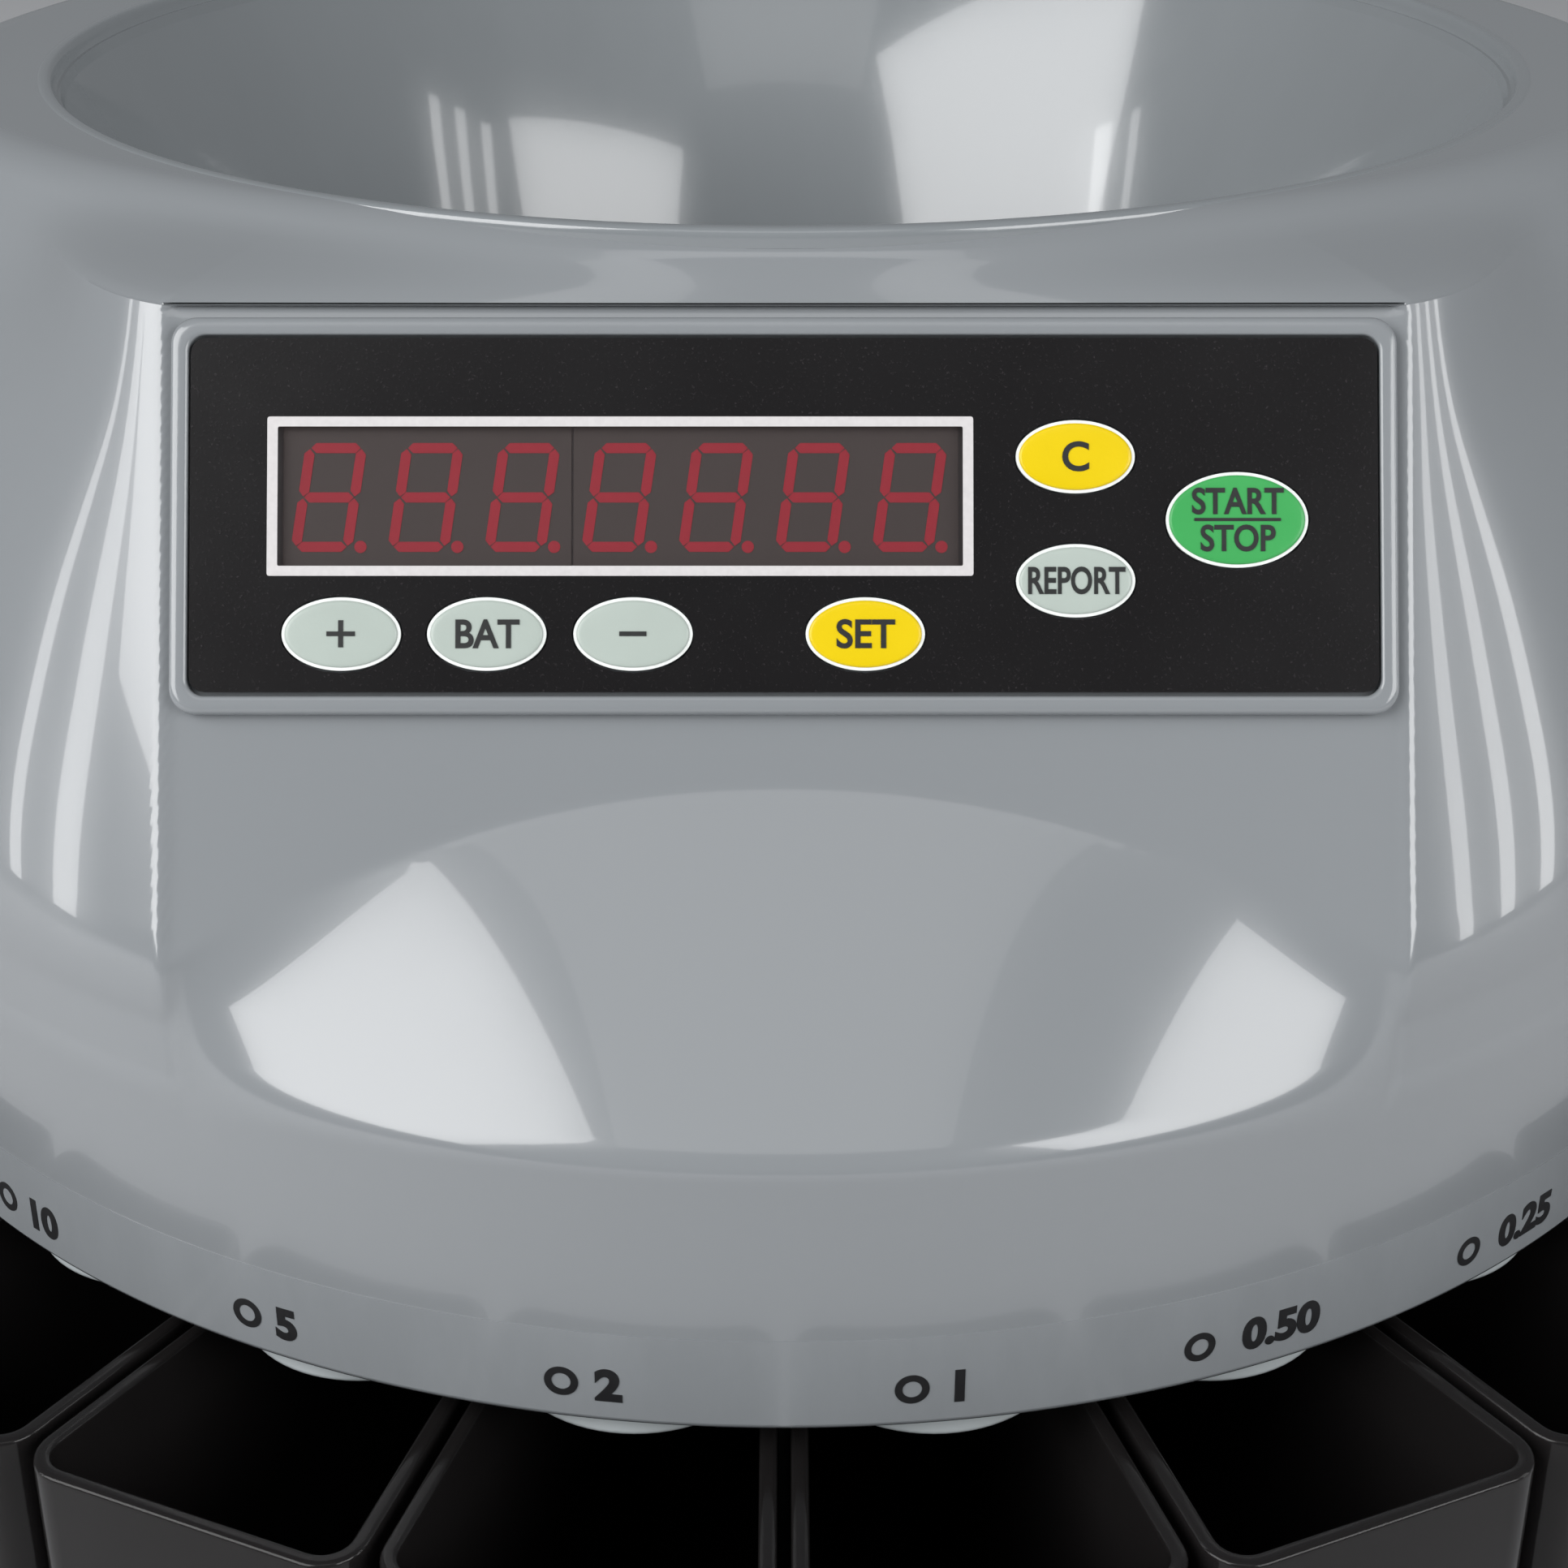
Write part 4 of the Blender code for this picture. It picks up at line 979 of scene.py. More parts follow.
def digit_mesh(settings):
    """Seven bars and a point, leaning a little to the right."""
    half_height = settings.digit_height / 2 - settings.segment / 2
    half_width = settings.digit_height * DIGIT_HALF_WIDTH
    lean = math.tan(DIGIT_LEAN)
    spots = {
        (side, level): Vector((side * half_width + level * half_height * lean, level * half_height))
        for side in (-1, 1)
        for level in (-1, 0, 1)
    }
    pairs = [((-1, level), (1, level)) for level in (-1, 0, 1)]
    pairs += [((side, level), (side, level + 1)) for side in (-1, 1) for level in (-1, 0)]
    outlines = []
    for first, second in pairs:
        start, end = spots[first], spots[second]
        gap = (end - start).normalized() * 0.00012
        outlines.append(bar(start + gap, end - gap, settings.segment))
    point = spots[(1, -1)] + Vector((0.0017, 0))
    outlines.append([point + spot for spot in ellipse(DIGIT_POINT_RADIUS, DIGIT_POINT_RADIUS, 20)])
    meshes = []
    for outline in outlines:
        rings = [[spot.to_3d() + Vector((0, 0, z)) for spot in outline] for z in (0, 0.00008)]
        meshes.append(stacked("bar", rings))
    return joined("digit", meshes)


def display_digits(settings, finish):
    """The row of digits, laid on the faces of the display modules."""
    inputs = {"Count": settings.digits, "Pitch": settings.digit_pitch}
    row = repeated("display_digits", row_tree(finish), digit_mesh(settings), **inputs)
    x, y = panel_place("display_window")
    level = heights_above(PANEL_OUT, "led_module_left")[1] - FACET_LEVEL
    first = x - settings.digit_pitch * (settings.digits - 1) / 2 - 0.0002
    return placed_on_panel(row, first, y, level)


def key_size(node):
    """Half the width and half the height of a key, seen square on."""
    low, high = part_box(node)
    reach = heights_above(PANEL_UP, node)
    return (high.x - low.x) / 2, (reach[1] - reach[0]) / 2


def key_meshes(node, settings):
    """A key's domed pad and the white line printed round it."""
    across, up = key_size(node)
    across, up = across - settings.outline, up - settings.outline
    x, y = key_place(node)
    top = FILM_LEVEL + 0.00042
    layers = [(ellipse(across, up), FILM_LEVEL - 0.0008)]
    for inset, height in fillet((0.0, top - 0.0003), (0.0, top), (0.0006, top), 4):
        layers.append((ellipse(across - inset, up - inset), height))
    for share in (0.8, 0.55, 0.3):
        dome = top + 0.00006 * (1 - share**2)
        layers.append((ellipse(across * share, up * share), dome))
    pad = panel_stack(f"{node}_pad", layers, x, y)
    line = settings.outline
    outer, inner = ellipse(across + line, up + line), ellipse(across, up)
    ring = flat_ring(outer, inner, FILM_LEVEL - 0.0006, FILM_LEVEL + 0.00014)
    return pad, panel_stack(f"{node}_outline", ring, x, y, closed=True)


def key_place(node):
    """Where a key stands on the panel, from the top of its pad."""
    low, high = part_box(node)
    reach = heights_above(PANEL_UP, node)
    middle = (reach[0] + reach[1]) / 2 - PANEL_CENTRE.dot(PANEL_UP)
    return (low.x + high.x) / 2, middle


# Each key's mark, the height of its capitals and how far it is squeezed
KEY_WORDS = {
    "key_plus": ("+", 0.0052, 1.05),
    "key_batch": ("BAT", 0.0036, 0.9),
    "key_minus": ("−", 0.0052, 1.0),
    "key_set": ("SET", 0.0036, 0.95),
    "key_clear": ("C", 0.0037, 1.0),
    "key_report": ("REPORT", 0.0034, 0.72),
}
# The two lines on the start key: their height, squeeze and distance from its middle
START_HEIGHT, START_SQUEEZE, START_OFFSET = 0.0033, 0.86, 0.0024
MARK_LEVEL = FILM_LEVEL + 0.00050


def key_words(node):
    """The plain marks on a key, as flat letters."""
    x, y = key_place(node)
    if node == "key_start":
        lines = []
        for words, offset in (("START", START_OFFSET), ("STOP", -START_OFFSET)):
            line = lettering(words, START_HEIGHT, START_SQUEEZE)
            lines.append(placed_on_panel(line, x, y + offset, MARK_LEVEL))
        outline = rectangle(0.0112, 0.0004, 0.0001, 2)
        layers = [(outline, MARK_LEVEL), (outline, MARK_LEVEL + PRINT_THICKNESS)]
        return joined(f"{node}_words", [*lines, panel_stack("rule", layers, x, y)])
    words, height, squeeze = KEY_WORDS[node]
    weight = 0.03 if words.isalpha() else 0.0
    return placed_on_panel(lettering(words, height, squeeze, weight), x, y, MARK_LEVEL)


# ---- The label strip ----

# Each coin value, with its bearing from the front in degrees
LABELS = (("10", -40), ("5", -24), ("2", -8), ("1", 8), ("0.50", 24), ("0.25", 40))
LABEL_HEIGHT = 0.0047
COIN_OUTER, COIN_INNER = 0.0023, 0.0013
STRIP_HALF = math.radians(74)
STRIP_STEPS = 120
STRIP_OUTSIDE = SKIRT_RADIUS + 0.00012
STRIP_THICKNESS = 0.0008
LABEL_RADIUS = SKIRT_RADIUS + 0.00016


def band_mesh():
    """Thin clear film round the skirt's lower edge."""
    low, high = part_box("denomination_strip")
    bottom, top = low.z + 0.0008, high.z + 0.0006
    inside = STRIP_OUTSIDE - STRIP_THICKNESS
    section = ((inside, bottom), (STRIP_OUTSIDE, bottom), (STRIP_OUTSIDE, top), (inside, top))
    shape = bmesh.new()
    columns = []
    for step in range(STRIP_STEPS + 1):
        way = outward(-STRIP_HALF + 2 * STRIP_HALF * step / STRIP_STEPS)
        places = [AXIS + way * radius + Vector((0, 0, height)) for radius, height in section]
        columns.append([shape.verts.new(place) for place in places])
    for left, right in zip(columns, columns[1:]):
        for index in range(4):
            after = (index + 1) % 4
            shape.faces.new((left[index], right[index], right[after], left[after]))
    shape.faces.new(reversed(columns[0]))
    shape.faces.new(columns[-1])
    return finished_mesh(shape, "label_film")


def wrapped(mesh, angle, height, radius):
    """Bends a flat mesh round the skirt."""
    for vertex in mesh.vertices:
        turn = angle + vertex.co.x / radius
        way = outward(turn)
        vertex.co = AXIS + way * (radius + vertex.co.z) + Vector((0, 0, height + vertex.co.y))
    return mesh


def label_numbers():
    """The value of the coins in each cup, with a plain ring for a coin to its left."""
    low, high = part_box("denomination_strip")
    level = (low.z + high.z) / 2 - 0.0008
    meshes = []
    for words, degrees in LABELS:
        angle = math.radians(degrees)
        digits = lettering(words, LABEL_HEIGHT, 1.05, weight=0.065)
        meshes.append(wrapped(digits, angle, level, LABEL_RADIUS))
        left = angle - (0.0042 + 0.0021 * len(words)) / SKIRT_RADIUS
        outer, inner = ellipse(COIN_OUTER, COIN_OUTER, 32), ellipse(COIN_INNER, COIN_INNER, 32)
        rings = [
            [spot.to_3d() + Vector((0, 0, rise)) for spot in outline]
            for outline, rise in flat_ring(outer, inner, 0.0, PRINT_THICKNESS)
        ]
        meshes.append(wrapped(stacked("coin", rings, closed=True), left, level, LABEL_RADIUS))
    return joined("label_numbers", meshes)


# ---- Chutes, cups and disc ----

CHUTE_LEAN = 0.0014
CHUTE_WALL = 0.002
# How far the chute's upper part, inside the deck, stands in from its lip
CHUTE_NECK_INSET = 0.0026
RIB_COUNT = 8
RIB_LENGTH = 0.052
RIB_RING_RADIUS = 0.026


def chute_mesh(node):
    """A short tube let into the deck, its rounded lip leaning forward over the cup."""
    low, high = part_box(node)
    centre = foot_of(node)
    lean = (centre - AXIS).normalized() * CHUTE_LEAN
    outer = (high.x - low.x) / 2
    inner = outer - CHUTE_WALL
    neck = outer - CHUTE_NECK_INSET
    lip = low.z - 0.0008
    outside = [(neck, high.z), (neck, SKIRT_BOTTOM + 0.0276)]
    outside += [(outer, SKIRT_BOTTOM + 0.0270), (outer, SKIRT_BOTTOM)]
    rim = fillet((outer, lip + 0.0009), (outer, lip), (outer - 0.0009, lip), 4)
    rim += fillet((inner + 0.0008, lip), (inner, lip), (inner, lip + 0.0009), 4)
    throat = inner - 0.0024
    inside = [(inner, SKIRT_BOTTOM), (throat, SKIRT_BOTTOM + 0.020), (throat, high.z)]
    rings = [circle(radius, height, 72, centre) for radius, height in outside]
    rings += [circle(radius, height, 72, centre + lean) for radius, height in rim]
    rings += [circle(radius, height, 72, centre) for radius, height in inside]
    return stacked(f"{node}_tube", rings, closed=True)


def cup_outline(settings, inset):
    """A cup from above, pointing along +X from the axis, this far in from its outer side."""
    half_pitch = settings.pitch / 2
    slope = math.tan(half_pitch)
    side = (settings.gap / 2 + inset) / math.cos(half_pitch)
    near, far = settings.core + inset, settings.reach - inset
    corners = [
        (near, side - near * slope),
        (far, side - far * slope),
        (far, far * slope - side),
        (near, near * slope - side),
    ]
    return rounded(corners, max(settings.corner - inset, 0.0012), 8)


def cup_mesh(settings, node, angle):
    """A pull-out cup: deep and smooth-walled, with rounded corners and a softened rim."""
    low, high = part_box(node)
    turn = Matrix.Rotation(angle - math.pi / 2, 2)
    wall, floor, tall = settings.wall, settings.floor, high.z - low.z

    def ring(inset, height):
        spots = [turn @ spot for spot in cup_outline(settings, inset)]
        return [AXIS + spot.to_3d() + Vector((0, 0, height)) for spot in spots]

    outside = fillet((0.0022, 0.0), (0.0, 0.0), (0.0, 0.0022), 4) + [(0.0, tall * 0.5)]
    rim = fillet((0.0, tall - 0.0008), (0.0, tall), (0.0008, tall), 3)
    rim += fillet((wall - 0.0008, tall), (wall, tall), (wall, tall - 0.0008), 3)
    inside = [(wall, tall * 0.5)]
    inside += fillet((wall, floor + 0.0050), (wall, floor), (wall + 0.0030, floor), 5)
    profile = outside + rim + inside
    return stacked(f"{node}_tub", [ring(inset, low.z + rise) for inset, rise in profile])


def disc_mesh(node):
    """The sorting disc: a dished plate with a raised rounded rim."""
    low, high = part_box(node)
    centre = foot_of(node)
    radius = (high.x - low.x) / 2
    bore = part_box("disc_shaft")[1].x + 0.0003
    profile = [(bore, low.z), (radius - 0.0006, low.z)]
    profile += fillet((radius, low.z + 0.0006), (radius, high.z), (radius - 0.0022, high.z), 5)
    profile += [(radius - 0.007, high.z - 0.0006), (radius - 0.012, high.z - 0.0016)]
    profile += [(0.020, high.z - 0.0013), (bore, high.z - 0.0013)]
    return turned("disc_plate", profile, centre, closed=True, steps=144)


def rib_mesh(inner, outer, level):
    """One low rib that pushes coins round, its back rounded."""
    rings = []
    for x, share in ((inner, 0.35), (inner + 0.002, 1.0), (outer - 0.003, 1.0), (outer, 0.3)):
        half, rise = 0.0016 * share, 0.0013 * share
        rings.append(
            [
                Vector((x, -half, level)),
                Vector((x, half, level)),
                Vector((x, half * 0.8, level + rise * 0.7)),
                Vector((x, half * 0.3, level + rise)),
                Vector((x, -half * 0.3, level + rise)),
                Vector((x, -half * 0.8, level + rise * 0.7)),
            ]
        )
    return stacked("rib", rings)


def cap_mesh(node):
    """The domed cap over the disc's shaft, with a shallow grip groove."""
    low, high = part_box(node)
    centre = foot_of(node)
    radius = (high.x - low.x) / 2
    rise = high.z - low.z
    profile = [(radius - 0.0006, low.z), (radius, low.z + 0.0006), (radius, low.z + rise * 0.28)]
    shoulder = (radius * 0.94, low.z + rise * 0.55)
    groove = (radius * 0.80, low.z + rise * 0.62)
    crown = (radius * 0.66, high.z)
    profile += fillet((radius, low.z + rise * 0.30), shoulder, groove, 5)
    profile += fillet((radius * 0.74, low.z + rise * 0.64), crown, (radius * 0.34, high.z), 7)
    profile += [(radius * 0.15, high.z), (0.0002, high.z)]
    return turned("shaft_cap", profile, centre, steps=72)


# ---- Body, base and fittings ----


def soften(node, finish, width, steps=2, body="base"):
    """Stands in for a node with its own shape, its edges rounded over."""
    mesh = softened(node, width, steps)
    piece(f"{node}_soft", mesh, finish, body=body, stands_for=[node])


def softened(node, width, steps):
    """A node's own shape as one joined surface, with its edges rounded over."""
    shape = bmesh.new()
    shape.from_mesh(NODES[node].data)
    bmesh.ops.remove_doubles(shape, verts=shape.verts, dist=0.00001)
    bmesh.ops.dissolve_limit(
        shape, angle_limit=math.radians(0.5), verts=shape.verts, edges=shape.edges
    )
    mesh = bpy.data.meshes.new(f"{node}_soft")
    shape.to_mesh(mesh)
    shape.free()
    made = loose(f"{node}_soft", mesh)
    bevel = made.modifiers.new("edges", "BEVEL")
    bevel.width = width
    bevel.segments = steps
    bevel.limit_method = "ANGLE"
    bevel.angle_limit = math.radians(28)
    result = plain_copy(made, f"{node}_soft")
    result.shade_smooth()
    result.set_sharp_from_angle(angle=math.radians(38))
    return result


def coat(nodes, finish):
    """Gives nodes that keep their own shape a new finish."""
    for node in nodes:
        for place in NODES[node].material_slots:
            place.material = finish


def numbered(stem):
    """The nodes of a numbered series, in order."""
    return sorted(name for name in NODES if name.startswith(f"{stem}_"))


def rear_stack(name, outlines, x, z, closed=False):
    """A mesh through outlines seen from behind, each at its own depth."""
    rings = [[Vector((x - spot.x, y, z + spot.y)) for spot in outline] for outline, y in outlines]
    return stacked(name, rings, closed)


PIN_PLACES = ((-0.007, -0.0016, 0.0), (0.0, 0.0024, 0.0012), (0.007, -0.0016, 0.0))
KNOB_RADIUS = 0.0058
CONTACT_RADIUS = 0.0005
CONTACT_PITCH = 0.00277
CONTACT_ROW_RISE = 0.0014
DATA_FACE_RISE = 0.0018
# From the rocker's pivot: out to each of its marks, out to its ends and back to its faces
ROCKER_MARK_PLACE = 0.0033
ROCKER_END = 0.00615
ROCKER_FACE = 0.0036


def inlet_pins():
    """Three flat pins standing in the inlet's well, the middle one higher and longer."""
    middle = middle_of("power_inlet")
    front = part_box("power_inlet")[1].y
    floor = front - 0.0185
    pins = []
    for x, z, tip in PIN_PLACES:
        reach = front - 0.0050 + tip
        wide, slim = rectangle(0.0020, 0.0040, 0.0003, 3), rectangle(0.0012, 0.0030, 0.0002, 3)
        outlines = [(wide, floor), (wide, reach - 0.0010), (slim, reach)]
        pins.append(rear_stack("pin", outlines, middle.x + x, middle.z + z))
    return joined("inlet_pins", pins)


def fuse_slot():
    """The fuse holder's round cap, with a slot for a screwdriver."""
    middle = middle_of("fuse_cap")
    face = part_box("fuse_cap")[1].y
    outlines = [(ellipse(KNOB_RADIUS, KNOB_RADIUS, 48), face - 0.0004)]
    for inset, rise in fillet((0.0, 0.0016), (0.0, 0.0022), (0.0006, 0.0022), 4):
        outlines.append((ellipse(KNOB_RADIUS - inset, KNOB_RADIUS - inset, 48), face + rise))
    knob = rear_stack("knob", outlines, middle.x, middle.z)
    groove = rectangle(0.0013, 0.0090, 0.0004, 3)
    depths = [(groove, face + 0.0010), (groove, face + 0.0040)]
    tool = rear_stack("groove", depths, middle.x, middle.z)
    return cut(knob, [tool], "fuse_slot")


def data_outline(width, height):
    """A D-shaped outline, wider at the top."""
    x, y = width / 2, height / 2
    return rounded([(-x * 0.88, -y), (x * 0.88, -y), (x, y), (-x, y)], 0.0014, 6)


def data_face():
    """The socket's dark insert, inside its metal shell."""
    middle = middle_of("data_socket")
    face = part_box("data_socket")[1].y
    outlines = [
        (data_outline(0.0158, 0.0078), face - 0.0003),
        (data_outline(0.0158, 0.0078), face + 0.0014),
        (data_outline(0.0152, 0.0072), face + DATA_FACE_RISE),
    ]
    return rear_stack("data_face", outlines, middle.x, middle.z)


def data_contacts(finish):
    """Two rows of round contacts in the data socket."""
    middle = middle_of("data_socket")
    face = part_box("data_socket")[1].y
    rows = []
    for count, rise in ((5, CONTACT_ROW_RISE), (4, -CONTACT_ROW_RISE)):
        round_face = ellipse(CONTACT_RADIUS, CONTACT_RADIUS, 12)
        contact = rear_stack("contact", [(round_face, 0.0), (round_face, PRINT_THICKNESS)], 0, 0)
        row = repeated("row", row_tree(finish), contact, Count=count, Pitch=CONTACT_PITCH)
        first = middle.x - CONTACT_PITCH * (count - 1) / 2
        row.transform(Matrix.Translation((first, face + DATA_FACE_RISE, middle.z + rise)))
        rows.append(row)
    return joined("data_contacts", rows)


def rocker_marks():
    """A bar and a ring, the usual marks for on and off, on the rocker's two faces."""
    pivot = Vector(JOINTS["power_rock"]["pos_m"])
    tip = Matrix.Rotation(math.radians(9), 4, "Z")

    def on_rocker(spot, centre, lift):
        x = centre + spot.x
        face = ROCKER_FACE + 0.0010 * abs(x) / ROCKER_END
        return pivot + tip @ Vector((x, face + lift, spot.y))

    def mark(name, centre, layers, closed):
        rings = [[on_rocker(spot, centre, lift) for spot in outline] for outline, lift in layers]
        return stacked(name, rings, closed)

    low, high = -0.0001, 0.00008
    line = rectangle(0.0005, 0.0034, 0.0001, 2)
    outer, inner = ellipse(0.0015, 0.0015, 32), ellipse(0.0010, 0.0010, 32)
    on = mark("bar", ROCKER_MARK_PLACE, [(line, low), (line, high)], closed=False)
    off = mark("ring", -ROCKER_MARK_PLACE, flat_ring(outer, inner, low, high), closed=True)
    return joined("rocker_marks", [on, off])


# ---- Operators ----

CLASSES = []


def builder(kind):
    """Lists an operator for registration, in the order the pieces are built."""
    CLASSES.append(kind)
    return kind


def choices():
    return bpy.context.scene.coin_counter


def shade(name):
    """A colour from the settings."""
    return tuple(getattr(choices().colours, name))


@builder
class BuildHead(bpy.types.Operator):
    """Builds the bell-shaped head shell and the hopper's funnel"""

    bl_idname = "coin_counter.head"
    bl_label = "Head and Hopper"

    def execute(self, context):
        own = choices()
        piece(
            "head_shell",
            head_mesh(own.head),
            glossy_shell(shade("shell")),
            stands_for=["upper_shell"],
        )
        piece(
            "hopper_funnel",
            hopper_mesh(),
            funnel_finish(shade("funnel")),
            stands_for=["hopper_bowl"],
        )
        return {"FINISHED"}


@builder
class BuildPanel(bpy.types.Operator):
    """Builds the panel's ring, film, window and display"""

    bl_idname = "coin_counter.panel"
    bl_label = "Panel and Display"

    def execute(self, context):
        own = choices()
        white = ink("frame_white", (0.54, 0.52, 0.52))
        shell = moulded("ring_plastic", shade("shell"), 0.16, Coat_Weight=0.3)
        ring = panel_ring(own.panel)
        piece("panel_ring", ring, shell, stands_for=["console_plate"])
        # The lighter black is the painted glint colour of the film's specks.
        black = film("key_film_black", shade("film"), (0.030, 0.026, 0.028))
        coat(["membrane_overlay"], black)
        piece("window_frame", window_frame_mesh(), white)
        coat(["display_window"], tinted_window(shade("window")))
        module = moulded("module_face", shade("module"), 0.4)
        coat(["led_module_left", "led_module_right"], module)
        bars = ink("digit_bars", shade("digit"))
        piece("display_digits", display_digits(own.panel, bars), bars)
        return {"FINISHED"}


@builder
class BuildKeys(bpy.types.Operator):
    """Builds each key's domed pad, its white outline and its plain marking"""

    bl_idname = "coin_counter.keys"
    bl_label = "Keys"

    def execute(self, context):
        own = choices()
        pale = key_film("pale_pad", shade("pale_key"))
        yellow = key_film("yellow_pad", shade("yellow_key"))
        green = key_film("green_pad", shade("green_key"))
        pads = {"key_set": yellow, "key_clear": yellow, "key_start": green}
        outline_ink = ink("outline_white", (0.70, 0.72, 0.70))
        mark_ink = ink("mark_black", (0.006, 0.007, 0.007))
        for node in [*KEY_WORDS, "key_start"]:
            pad, outline = key_meshes(node, own.panel)
            piece(f"{node}_pad", pad, pads.get(node, pale), body=node, stands_for=[node])
            piece(f"{node}_outline", outline, outline_ink, body=node)
            piece(f"{node}_mark", key_words(node), mark_ink, body=node)
        return {"FINISHED"}


@builder
class BuildLabels(bpy.types.Operator):
    """Builds the clear strip round the skirt and the coin values on it"""

    bl_idname = "coin_counter.labels"
    bl_label = "Coin Values"

    def execute(self, context):
        strip = clear_strip(shade("shell"))
        band = band_mesh()
        piece("label_film", band, strip, stands_for=["denomination_strip"])
        black = ink("number_black", (0.008, 0.008, 0.009))
        piece("label_numbers", label_numbers(), black)
        return {"FINISHED"}


@builder
class BuildChutes(bpy.types.Operator):
    """Builds the round chutes that guide coins down into the cups"""

    bl_idname = "coin_counter.chutes"
    bl_label = "Chutes"

    def execute(self, context):
        finish = moulded("chute_plastic", (0.40, 0.43, 0.44), 0.25)
        for node in numbered("coin_chute"):
            piece(f"{node}_tube", chute_mesh(node), finish, stands_for=[node])
        return {"FINISHED"}


@builder
class BuildCups(bpy.types.Operator):
    """Builds the eight pull-out cups, each on its own slide"""

    bl_idname = "coin_counter.cups"
    bl_label = "Cups"

    def execute(self, context):
        own = choices()
        finish = smoked_plastic(shade("smoke"))
        for index, node in enumerate(numbered("coin_cup")):
            angle = (index - (CUP_COUNT - 1) / 2) * own.cups.pitch
            mesh = cup_mesh(own.cups, node, angle)
            body = f"cup_{index + 1}"
            piece(f"{node}_tub", mesh, finish, body=body, stands_for=[node])
        return {"FINISHED"}


@builder
class BuildDisc(bpy.types.Operator):
    """Builds the ribbed sorting disc in the hopper and the cap on its shaft"""

    bl_idname = "coin_counter.disc"
    bl_label = "Sorting Disc"

    def execute(self, context):
        finish = brushed("disc_metal", (0.50, 0.51, 0.52), 0.34, stretch=(1.0, 1.0, 4.0))
        piece(
            "disc_plate",
            disc_mesh("sorting_disc"),
            finish,
            body="rotor",
            stands_for=["sorting_disc"],
        )
        middle, top = middle_of("sorting_disc"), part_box("sorting_disc")[1].z
        rib = rib_mesh(0.0, RIB_LENGTH, 0.0)
        ribs = repeated("disc_ribs", ring_tree(finish), rib, Count=RIB_COUNT, Radius=RIB_RING_RADIUS)
        ribs.transform(Matrix.Translation((middle.x, middle.y, top - 0.0016)))
        piece("disc_ribs", ribs, finish, body="rotor")
        cap_finish = moulded("cap_plastic", (0.10, 0.11, 0.12), 0.3)
        piece(
            "shaft_cap",
            cap_mesh("disc_cap"),
            cap_finish,
            body="rotor",
            stands_for=["disc_cap"],
        )
        return {"FINISHED"}


@builder
class BuildBody(bpy.types.Operator):
    """Builds the body shell, the base tray and the feet with softened edges"""

    bl_idname = "coin_counter.body"
    bl_label = "Body and Base"

    def execute(self, context):
        body = moulded("body_plastic", shade("body"), 0.26)
        tray = moulded("tray_plastic", (0.030, 0.032, 0.034), 0.45, grain=0.00006)
        rubber = soft_rubber((0.014, 0.014, 0.014))
        soften("body_shell", body, 0.0006)
        soften("base_tray", tray, 0.0010, 3)
        for node in numbered("rubber_foot"):
            soften(node, rubber, 0.0012, 3)
        return {"FINISHED"}


@builder
class BuildRear(bpy.types.Operator):
    """Builds the mains inlet, power switch, fuse holder and data socket at the back"""

    bl_idname = "coin_counter.rear"
    bl_label = "Rear Fittings"

    def execute(self, context):
        black = moulded("fitting_plastic", (0.016, 0.016, 0.017), 0.38, grain=0.00005)
        steel = brushed("plain_steel", (0.58, 0.58, 0.57), 0.30, stretch=(1.0, 1.0, 0.1))
        red = moulded("rocker_plastic", (0.42, 0.012, 0.010), 0.28)
        white = ink("rocker_white", (0.75, 0.75, 0.74))
        for node in ("power_inlet", "switch_housing", "fuse_cap"):
            soften(node, black, 0.0005)
        soften("data_socket", steel, 0.0004)
        soften("power_rocker", red, 0.0004, body="power_rocker")
        piece("inlet_pins", inlet_pins(), steel)
        piece("fuse_slot", fuse_slot(), black)
        piece("data_face", data_face(), black)
        piece("data_contacts", data_contacts(steel), steel)
        piece("rocker_marks", rocker_marks(), white, body="power_rocker")
        return {"FINISHED"}


@builder
class FinishInside(bpy.types.Operator):
    """Gives the drive, the deck and the boards their own finishes"""

    bl_idname = "coin_counter.inside"
    bl_label = "Inner Finishes"

    def execute(self, context):
        deck = moulded("deck_plastic", (0.085, 0.09, 0.095), 0.4)
        steel = brushed("turned_steel", (0.55, 0.55, 0.54), 0.28, stretch=(1.0, 1.0, 6.0))
        zinc = brushed("zinc_sheet", (0.46, 0.47, 0.47), 0.40, stretch=(0.2, 1.0, 1.0))
        motor = brushed("motor_case", (0.30, 0.30, 0.31), 0.42, stretch=(1.0, 1.0, 0.2))
        coat(["sorting_deck", "coin_fence", "coin_sensor", "bearing_housing"], deck)
        coat(["shaft_bearing", "disc_shaft", *numbered("shell_screw")], steel)
        coat(["motor_bracket"], zinc)
        coat(["gear_motor"], motor)
        coat(["motor_pulley", "drive_pulley"], moulded("pulley_plastic", (0.03, 0.03, 0.03), 0.4))
        coat(["drive_belt"], soft_rubber((0.018, 0.018, 0.018)))
        coat(["display_board", "main_board"], board_finish((0.015, 0.10, 0.035)))
        coat(["transformer"], brushed("core_iron", (0.20, 0.19, 0.18), 0.5, stretch=(0.1, 1.0, 14.0)))
        return {"FINISHED"}


# ---- Stage ----


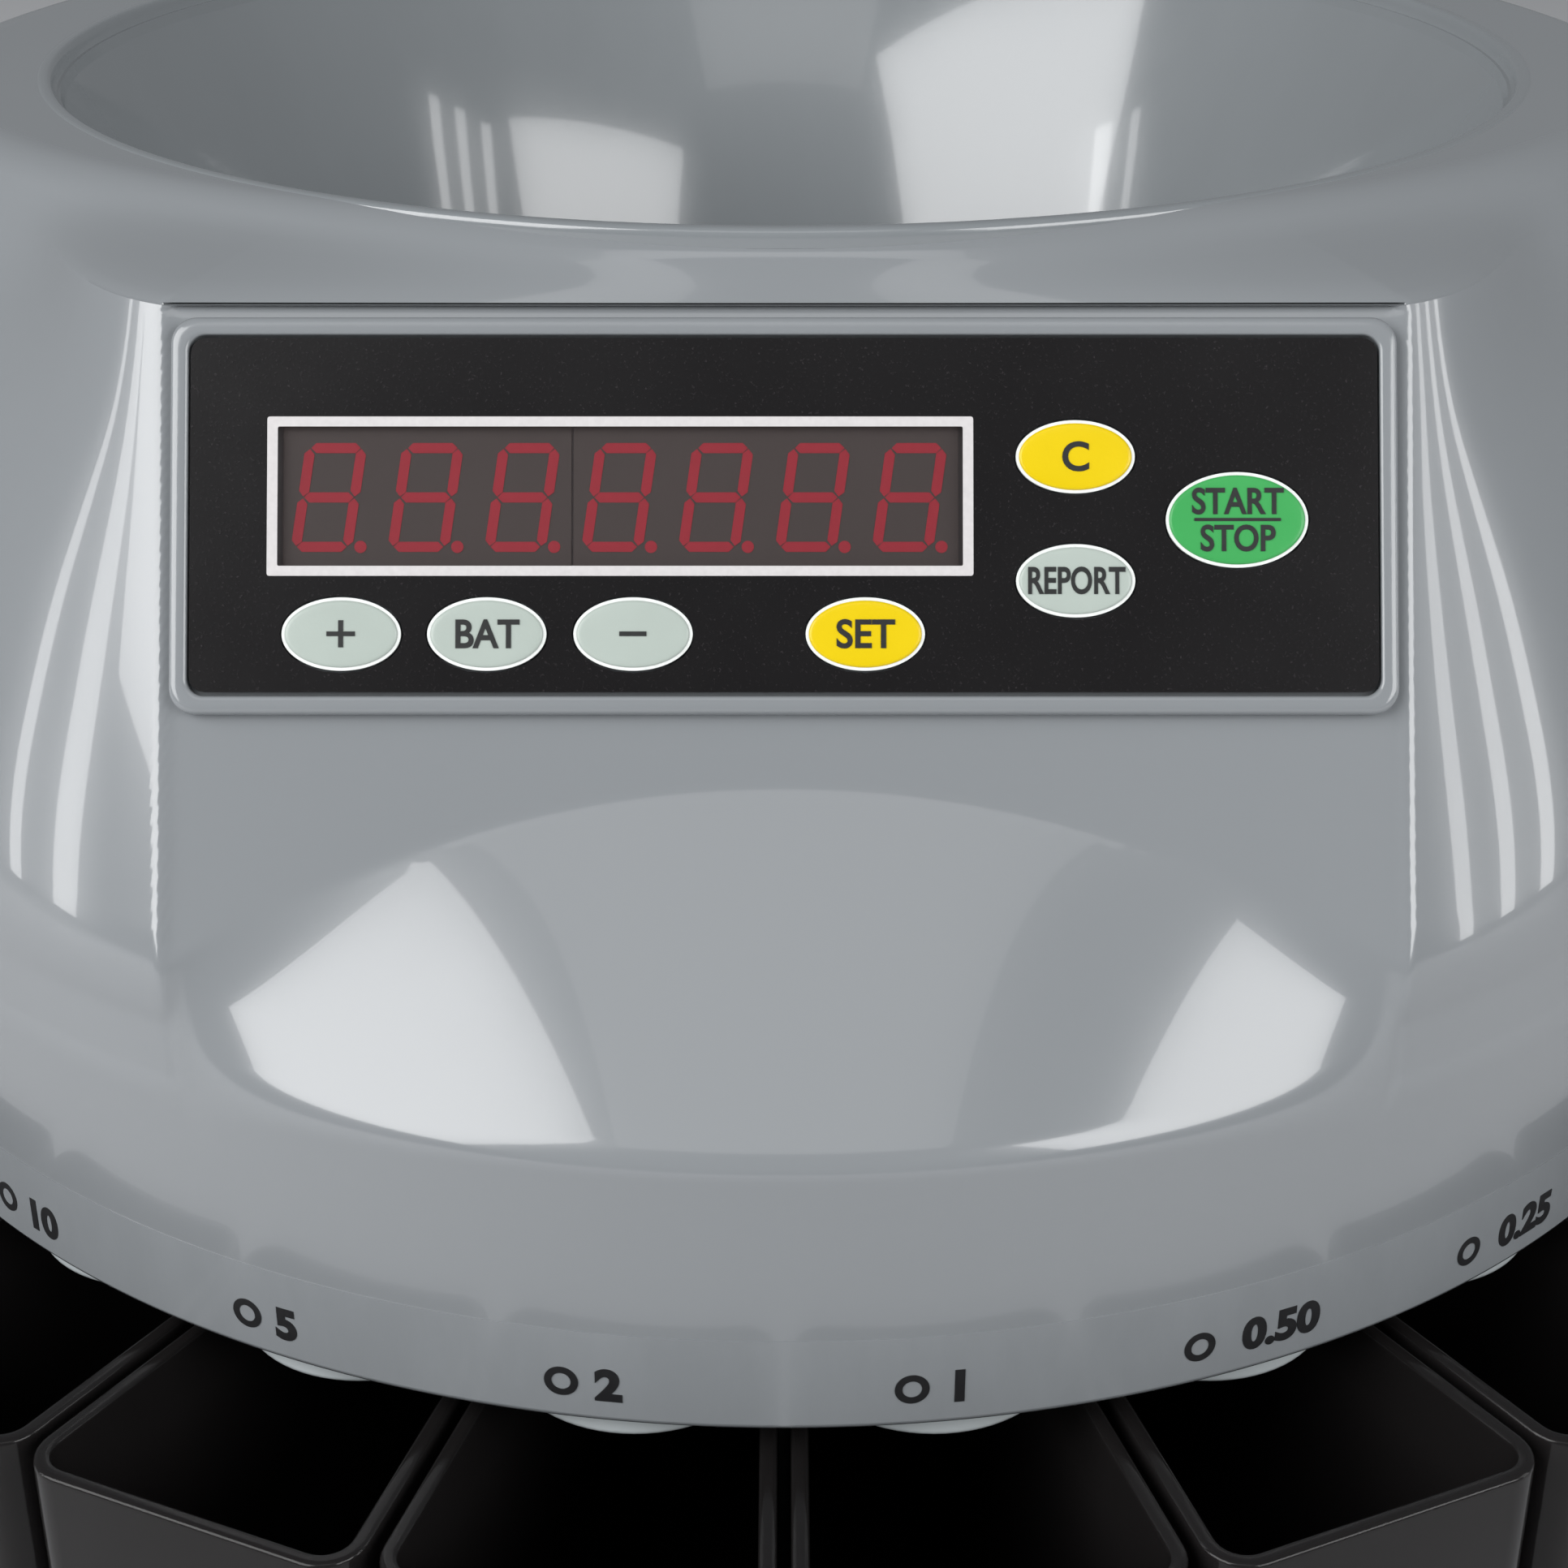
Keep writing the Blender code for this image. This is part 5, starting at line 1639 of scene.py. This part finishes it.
# Each light's name, place, width and height, and power in watts
LIGHTS = (
    ("left_window", (-1.70, -1.25, 1.45), (2.05, 1.70), 64),
    ("right_window", (1.28, -1.25, 0.95), (1.25, 0.90), 19),
    ("ceiling", (0.0, -1.30, 1.95), (1.10, 0.80), 2.6),
    ("left_strip_0", (-1.50, -0.30, 0.60), (0.10, 1.00), 1.8),
    ("left_strip_1", (-1.50, -0.10, 0.60), (0.05, 1.00), 0.9),
    ("right_strip_0", (1.50, -0.45, 0.60), (0.06, 1.10), 1.3),
    ("right_strip_1", (1.50, -0.28, 0.60), (0.06, 1.10), 1.3),
    ("right_strip_2", (1.50, -0.12, 0.60), (0.06, 1.10), 1.3),
)
LIGHT_TARGET = (0.0, AXIS.y - 0.05, 0.20)
FLOOR_RADIUS, FLOOR_THICKNESS = 3.0, 0.02


def area_light(name, place, size, power):
    """A soft rectangular light turned towards the machine."""
    light = bpy.data.lights.new(name, "AREA")
    light.shape = "RECTANGLE"
    light.size, light.size_y = size
    light.energy = power
    made = bpy.data.objects.new(name, light)
    made.location = place
    way = Vector(LIGHT_TARGET) - Vector(place)
    made.rotation_euler = way.to_track_quat("-Z", "Y").to_euler()
    bpy.context.scene.collection.objects.link(made)


def pale_floor(tint):
    """A wide round floor, a little mottled like painted board."""
    recipe = Recipe("pale_floor")
    cloud = recipe.noise(3.0, 3.0)
    recipe.send(recipe.blend(cloud, lighter(tint, 0.97), lighter(tint, 1.02)), "Base Color")
    recipe.send(cloud * 0.1 + 0.5, "Roughness")
    centre = Vector((0, 0, 0))
    rings = [circle(FLOOR_RADIUS, height, 96, centre) for height in (-FLOOR_THICKNESS, 0.0)]
    mesh = stacked("floor", rings)
    mesh.materials.append(recipe.material)
    made = loose("floor", mesh)


@builder
class BuildStage(bpy.types.Operator):
    """Sets the pale floor, the soft studio lights and the camera"""

    bl_idname = "coin_counter.stage"
    bl_label = "Stage"

    def execute(self, context):
        own = choices().stage
        pale_floor(tuple(own.floor))
        world = bpy.data.worlds.new("studio")
        world.use_nodes = True
        sky = world.node_tree.nodes["Background"].inputs
        sky["Color"].default_value = (0.80, 0.84, 0.88, 1)
        sky["Strength"].default_value = 0.27
        bpy.context.scene.world = world
        bpy.context.scene.view_settings.view_transform = "Standard"
        for light in LIGHTS:
            area_light(*light)
        camera = bpy.data.cameras.new("camera")
        camera.lens = own.lens
        camera.sensor_width = 36
        camera.clip_start = 0.01
        made = bpy.data.objects.new("camera", camera)
        made.location = (0, AXIS.y - own.back, SKIRT_BOTTOM + own.rise)
        made.rotation_euler = (math.pi / 2 - own.pitch, 0, 0)
        bpy.context.scene.collection.objects.link(made)
        bpy.context.scene.camera = made
        return {"FINISHED"}


# ---- Panel and registration ----


class CoinCounterSettings(bpy.types.PropertyGroup):
    head: PointerProperty(type=HeadSettings)
    panel: PointerProperty(type=PanelSettings)
    cups: PointerProperty(type=CupSettings)
    colours: PointerProperty(type=ColourSettings)
    stage: PointerProperty(type=StageSettings)


class VIEW3D_PT_coin_counter(bpy.types.Panel):
    """Lists the pieces and the sizes and colours they are built from"""

    bl_label = "Coin Counter"
    bl_space_type = "VIEW_3D"
    bl_region_type = "UI"
    bl_category = "Coin Counter"

    def draw(self, context):
        own = context.scene.coin_counter
        for kind in CLASSES:
            self.layout.operator(kind.bl_idname)
        for label in ("head", "panel", "cups", "colours", "stage"):
            group = getattr(own, label)
            box = self.layout.box()
            box.label(text=label.capitalize())
            for key in group.bl_rna.properties.keys():
                if key not in ("rna_type", "name"):
                    box.prop(group, key)


SETTINGS = (
    HeadSettings,
    PanelSettings,
    CupSettings,
    StageSettings,
    ColourSettings,
    CoinCounterSettings,
)


def register():
    for kind in (*SETTINGS, *CLASSES, VIEW3D_PT_coin_counter):
        bpy.utils.register_class(kind)
    bpy.types.Scene.coin_counter = PointerProperty(type=CoinCounterSettings)


def unregister():
    del bpy.types.Scene.coin_counter
    for kind in (VIEW3D_PT_coin_counter, *reversed(CLASSES), *reversed(SETTINGS)):
        bpy.utils.unregister_class(kind)


def main():
    register()
    for kind in CLASSES:
        group, action = kind.bl_idname.split(".")
        getattr(getattr(bpy.ops, group), action)()


if __name__ == "__main__":
    main()
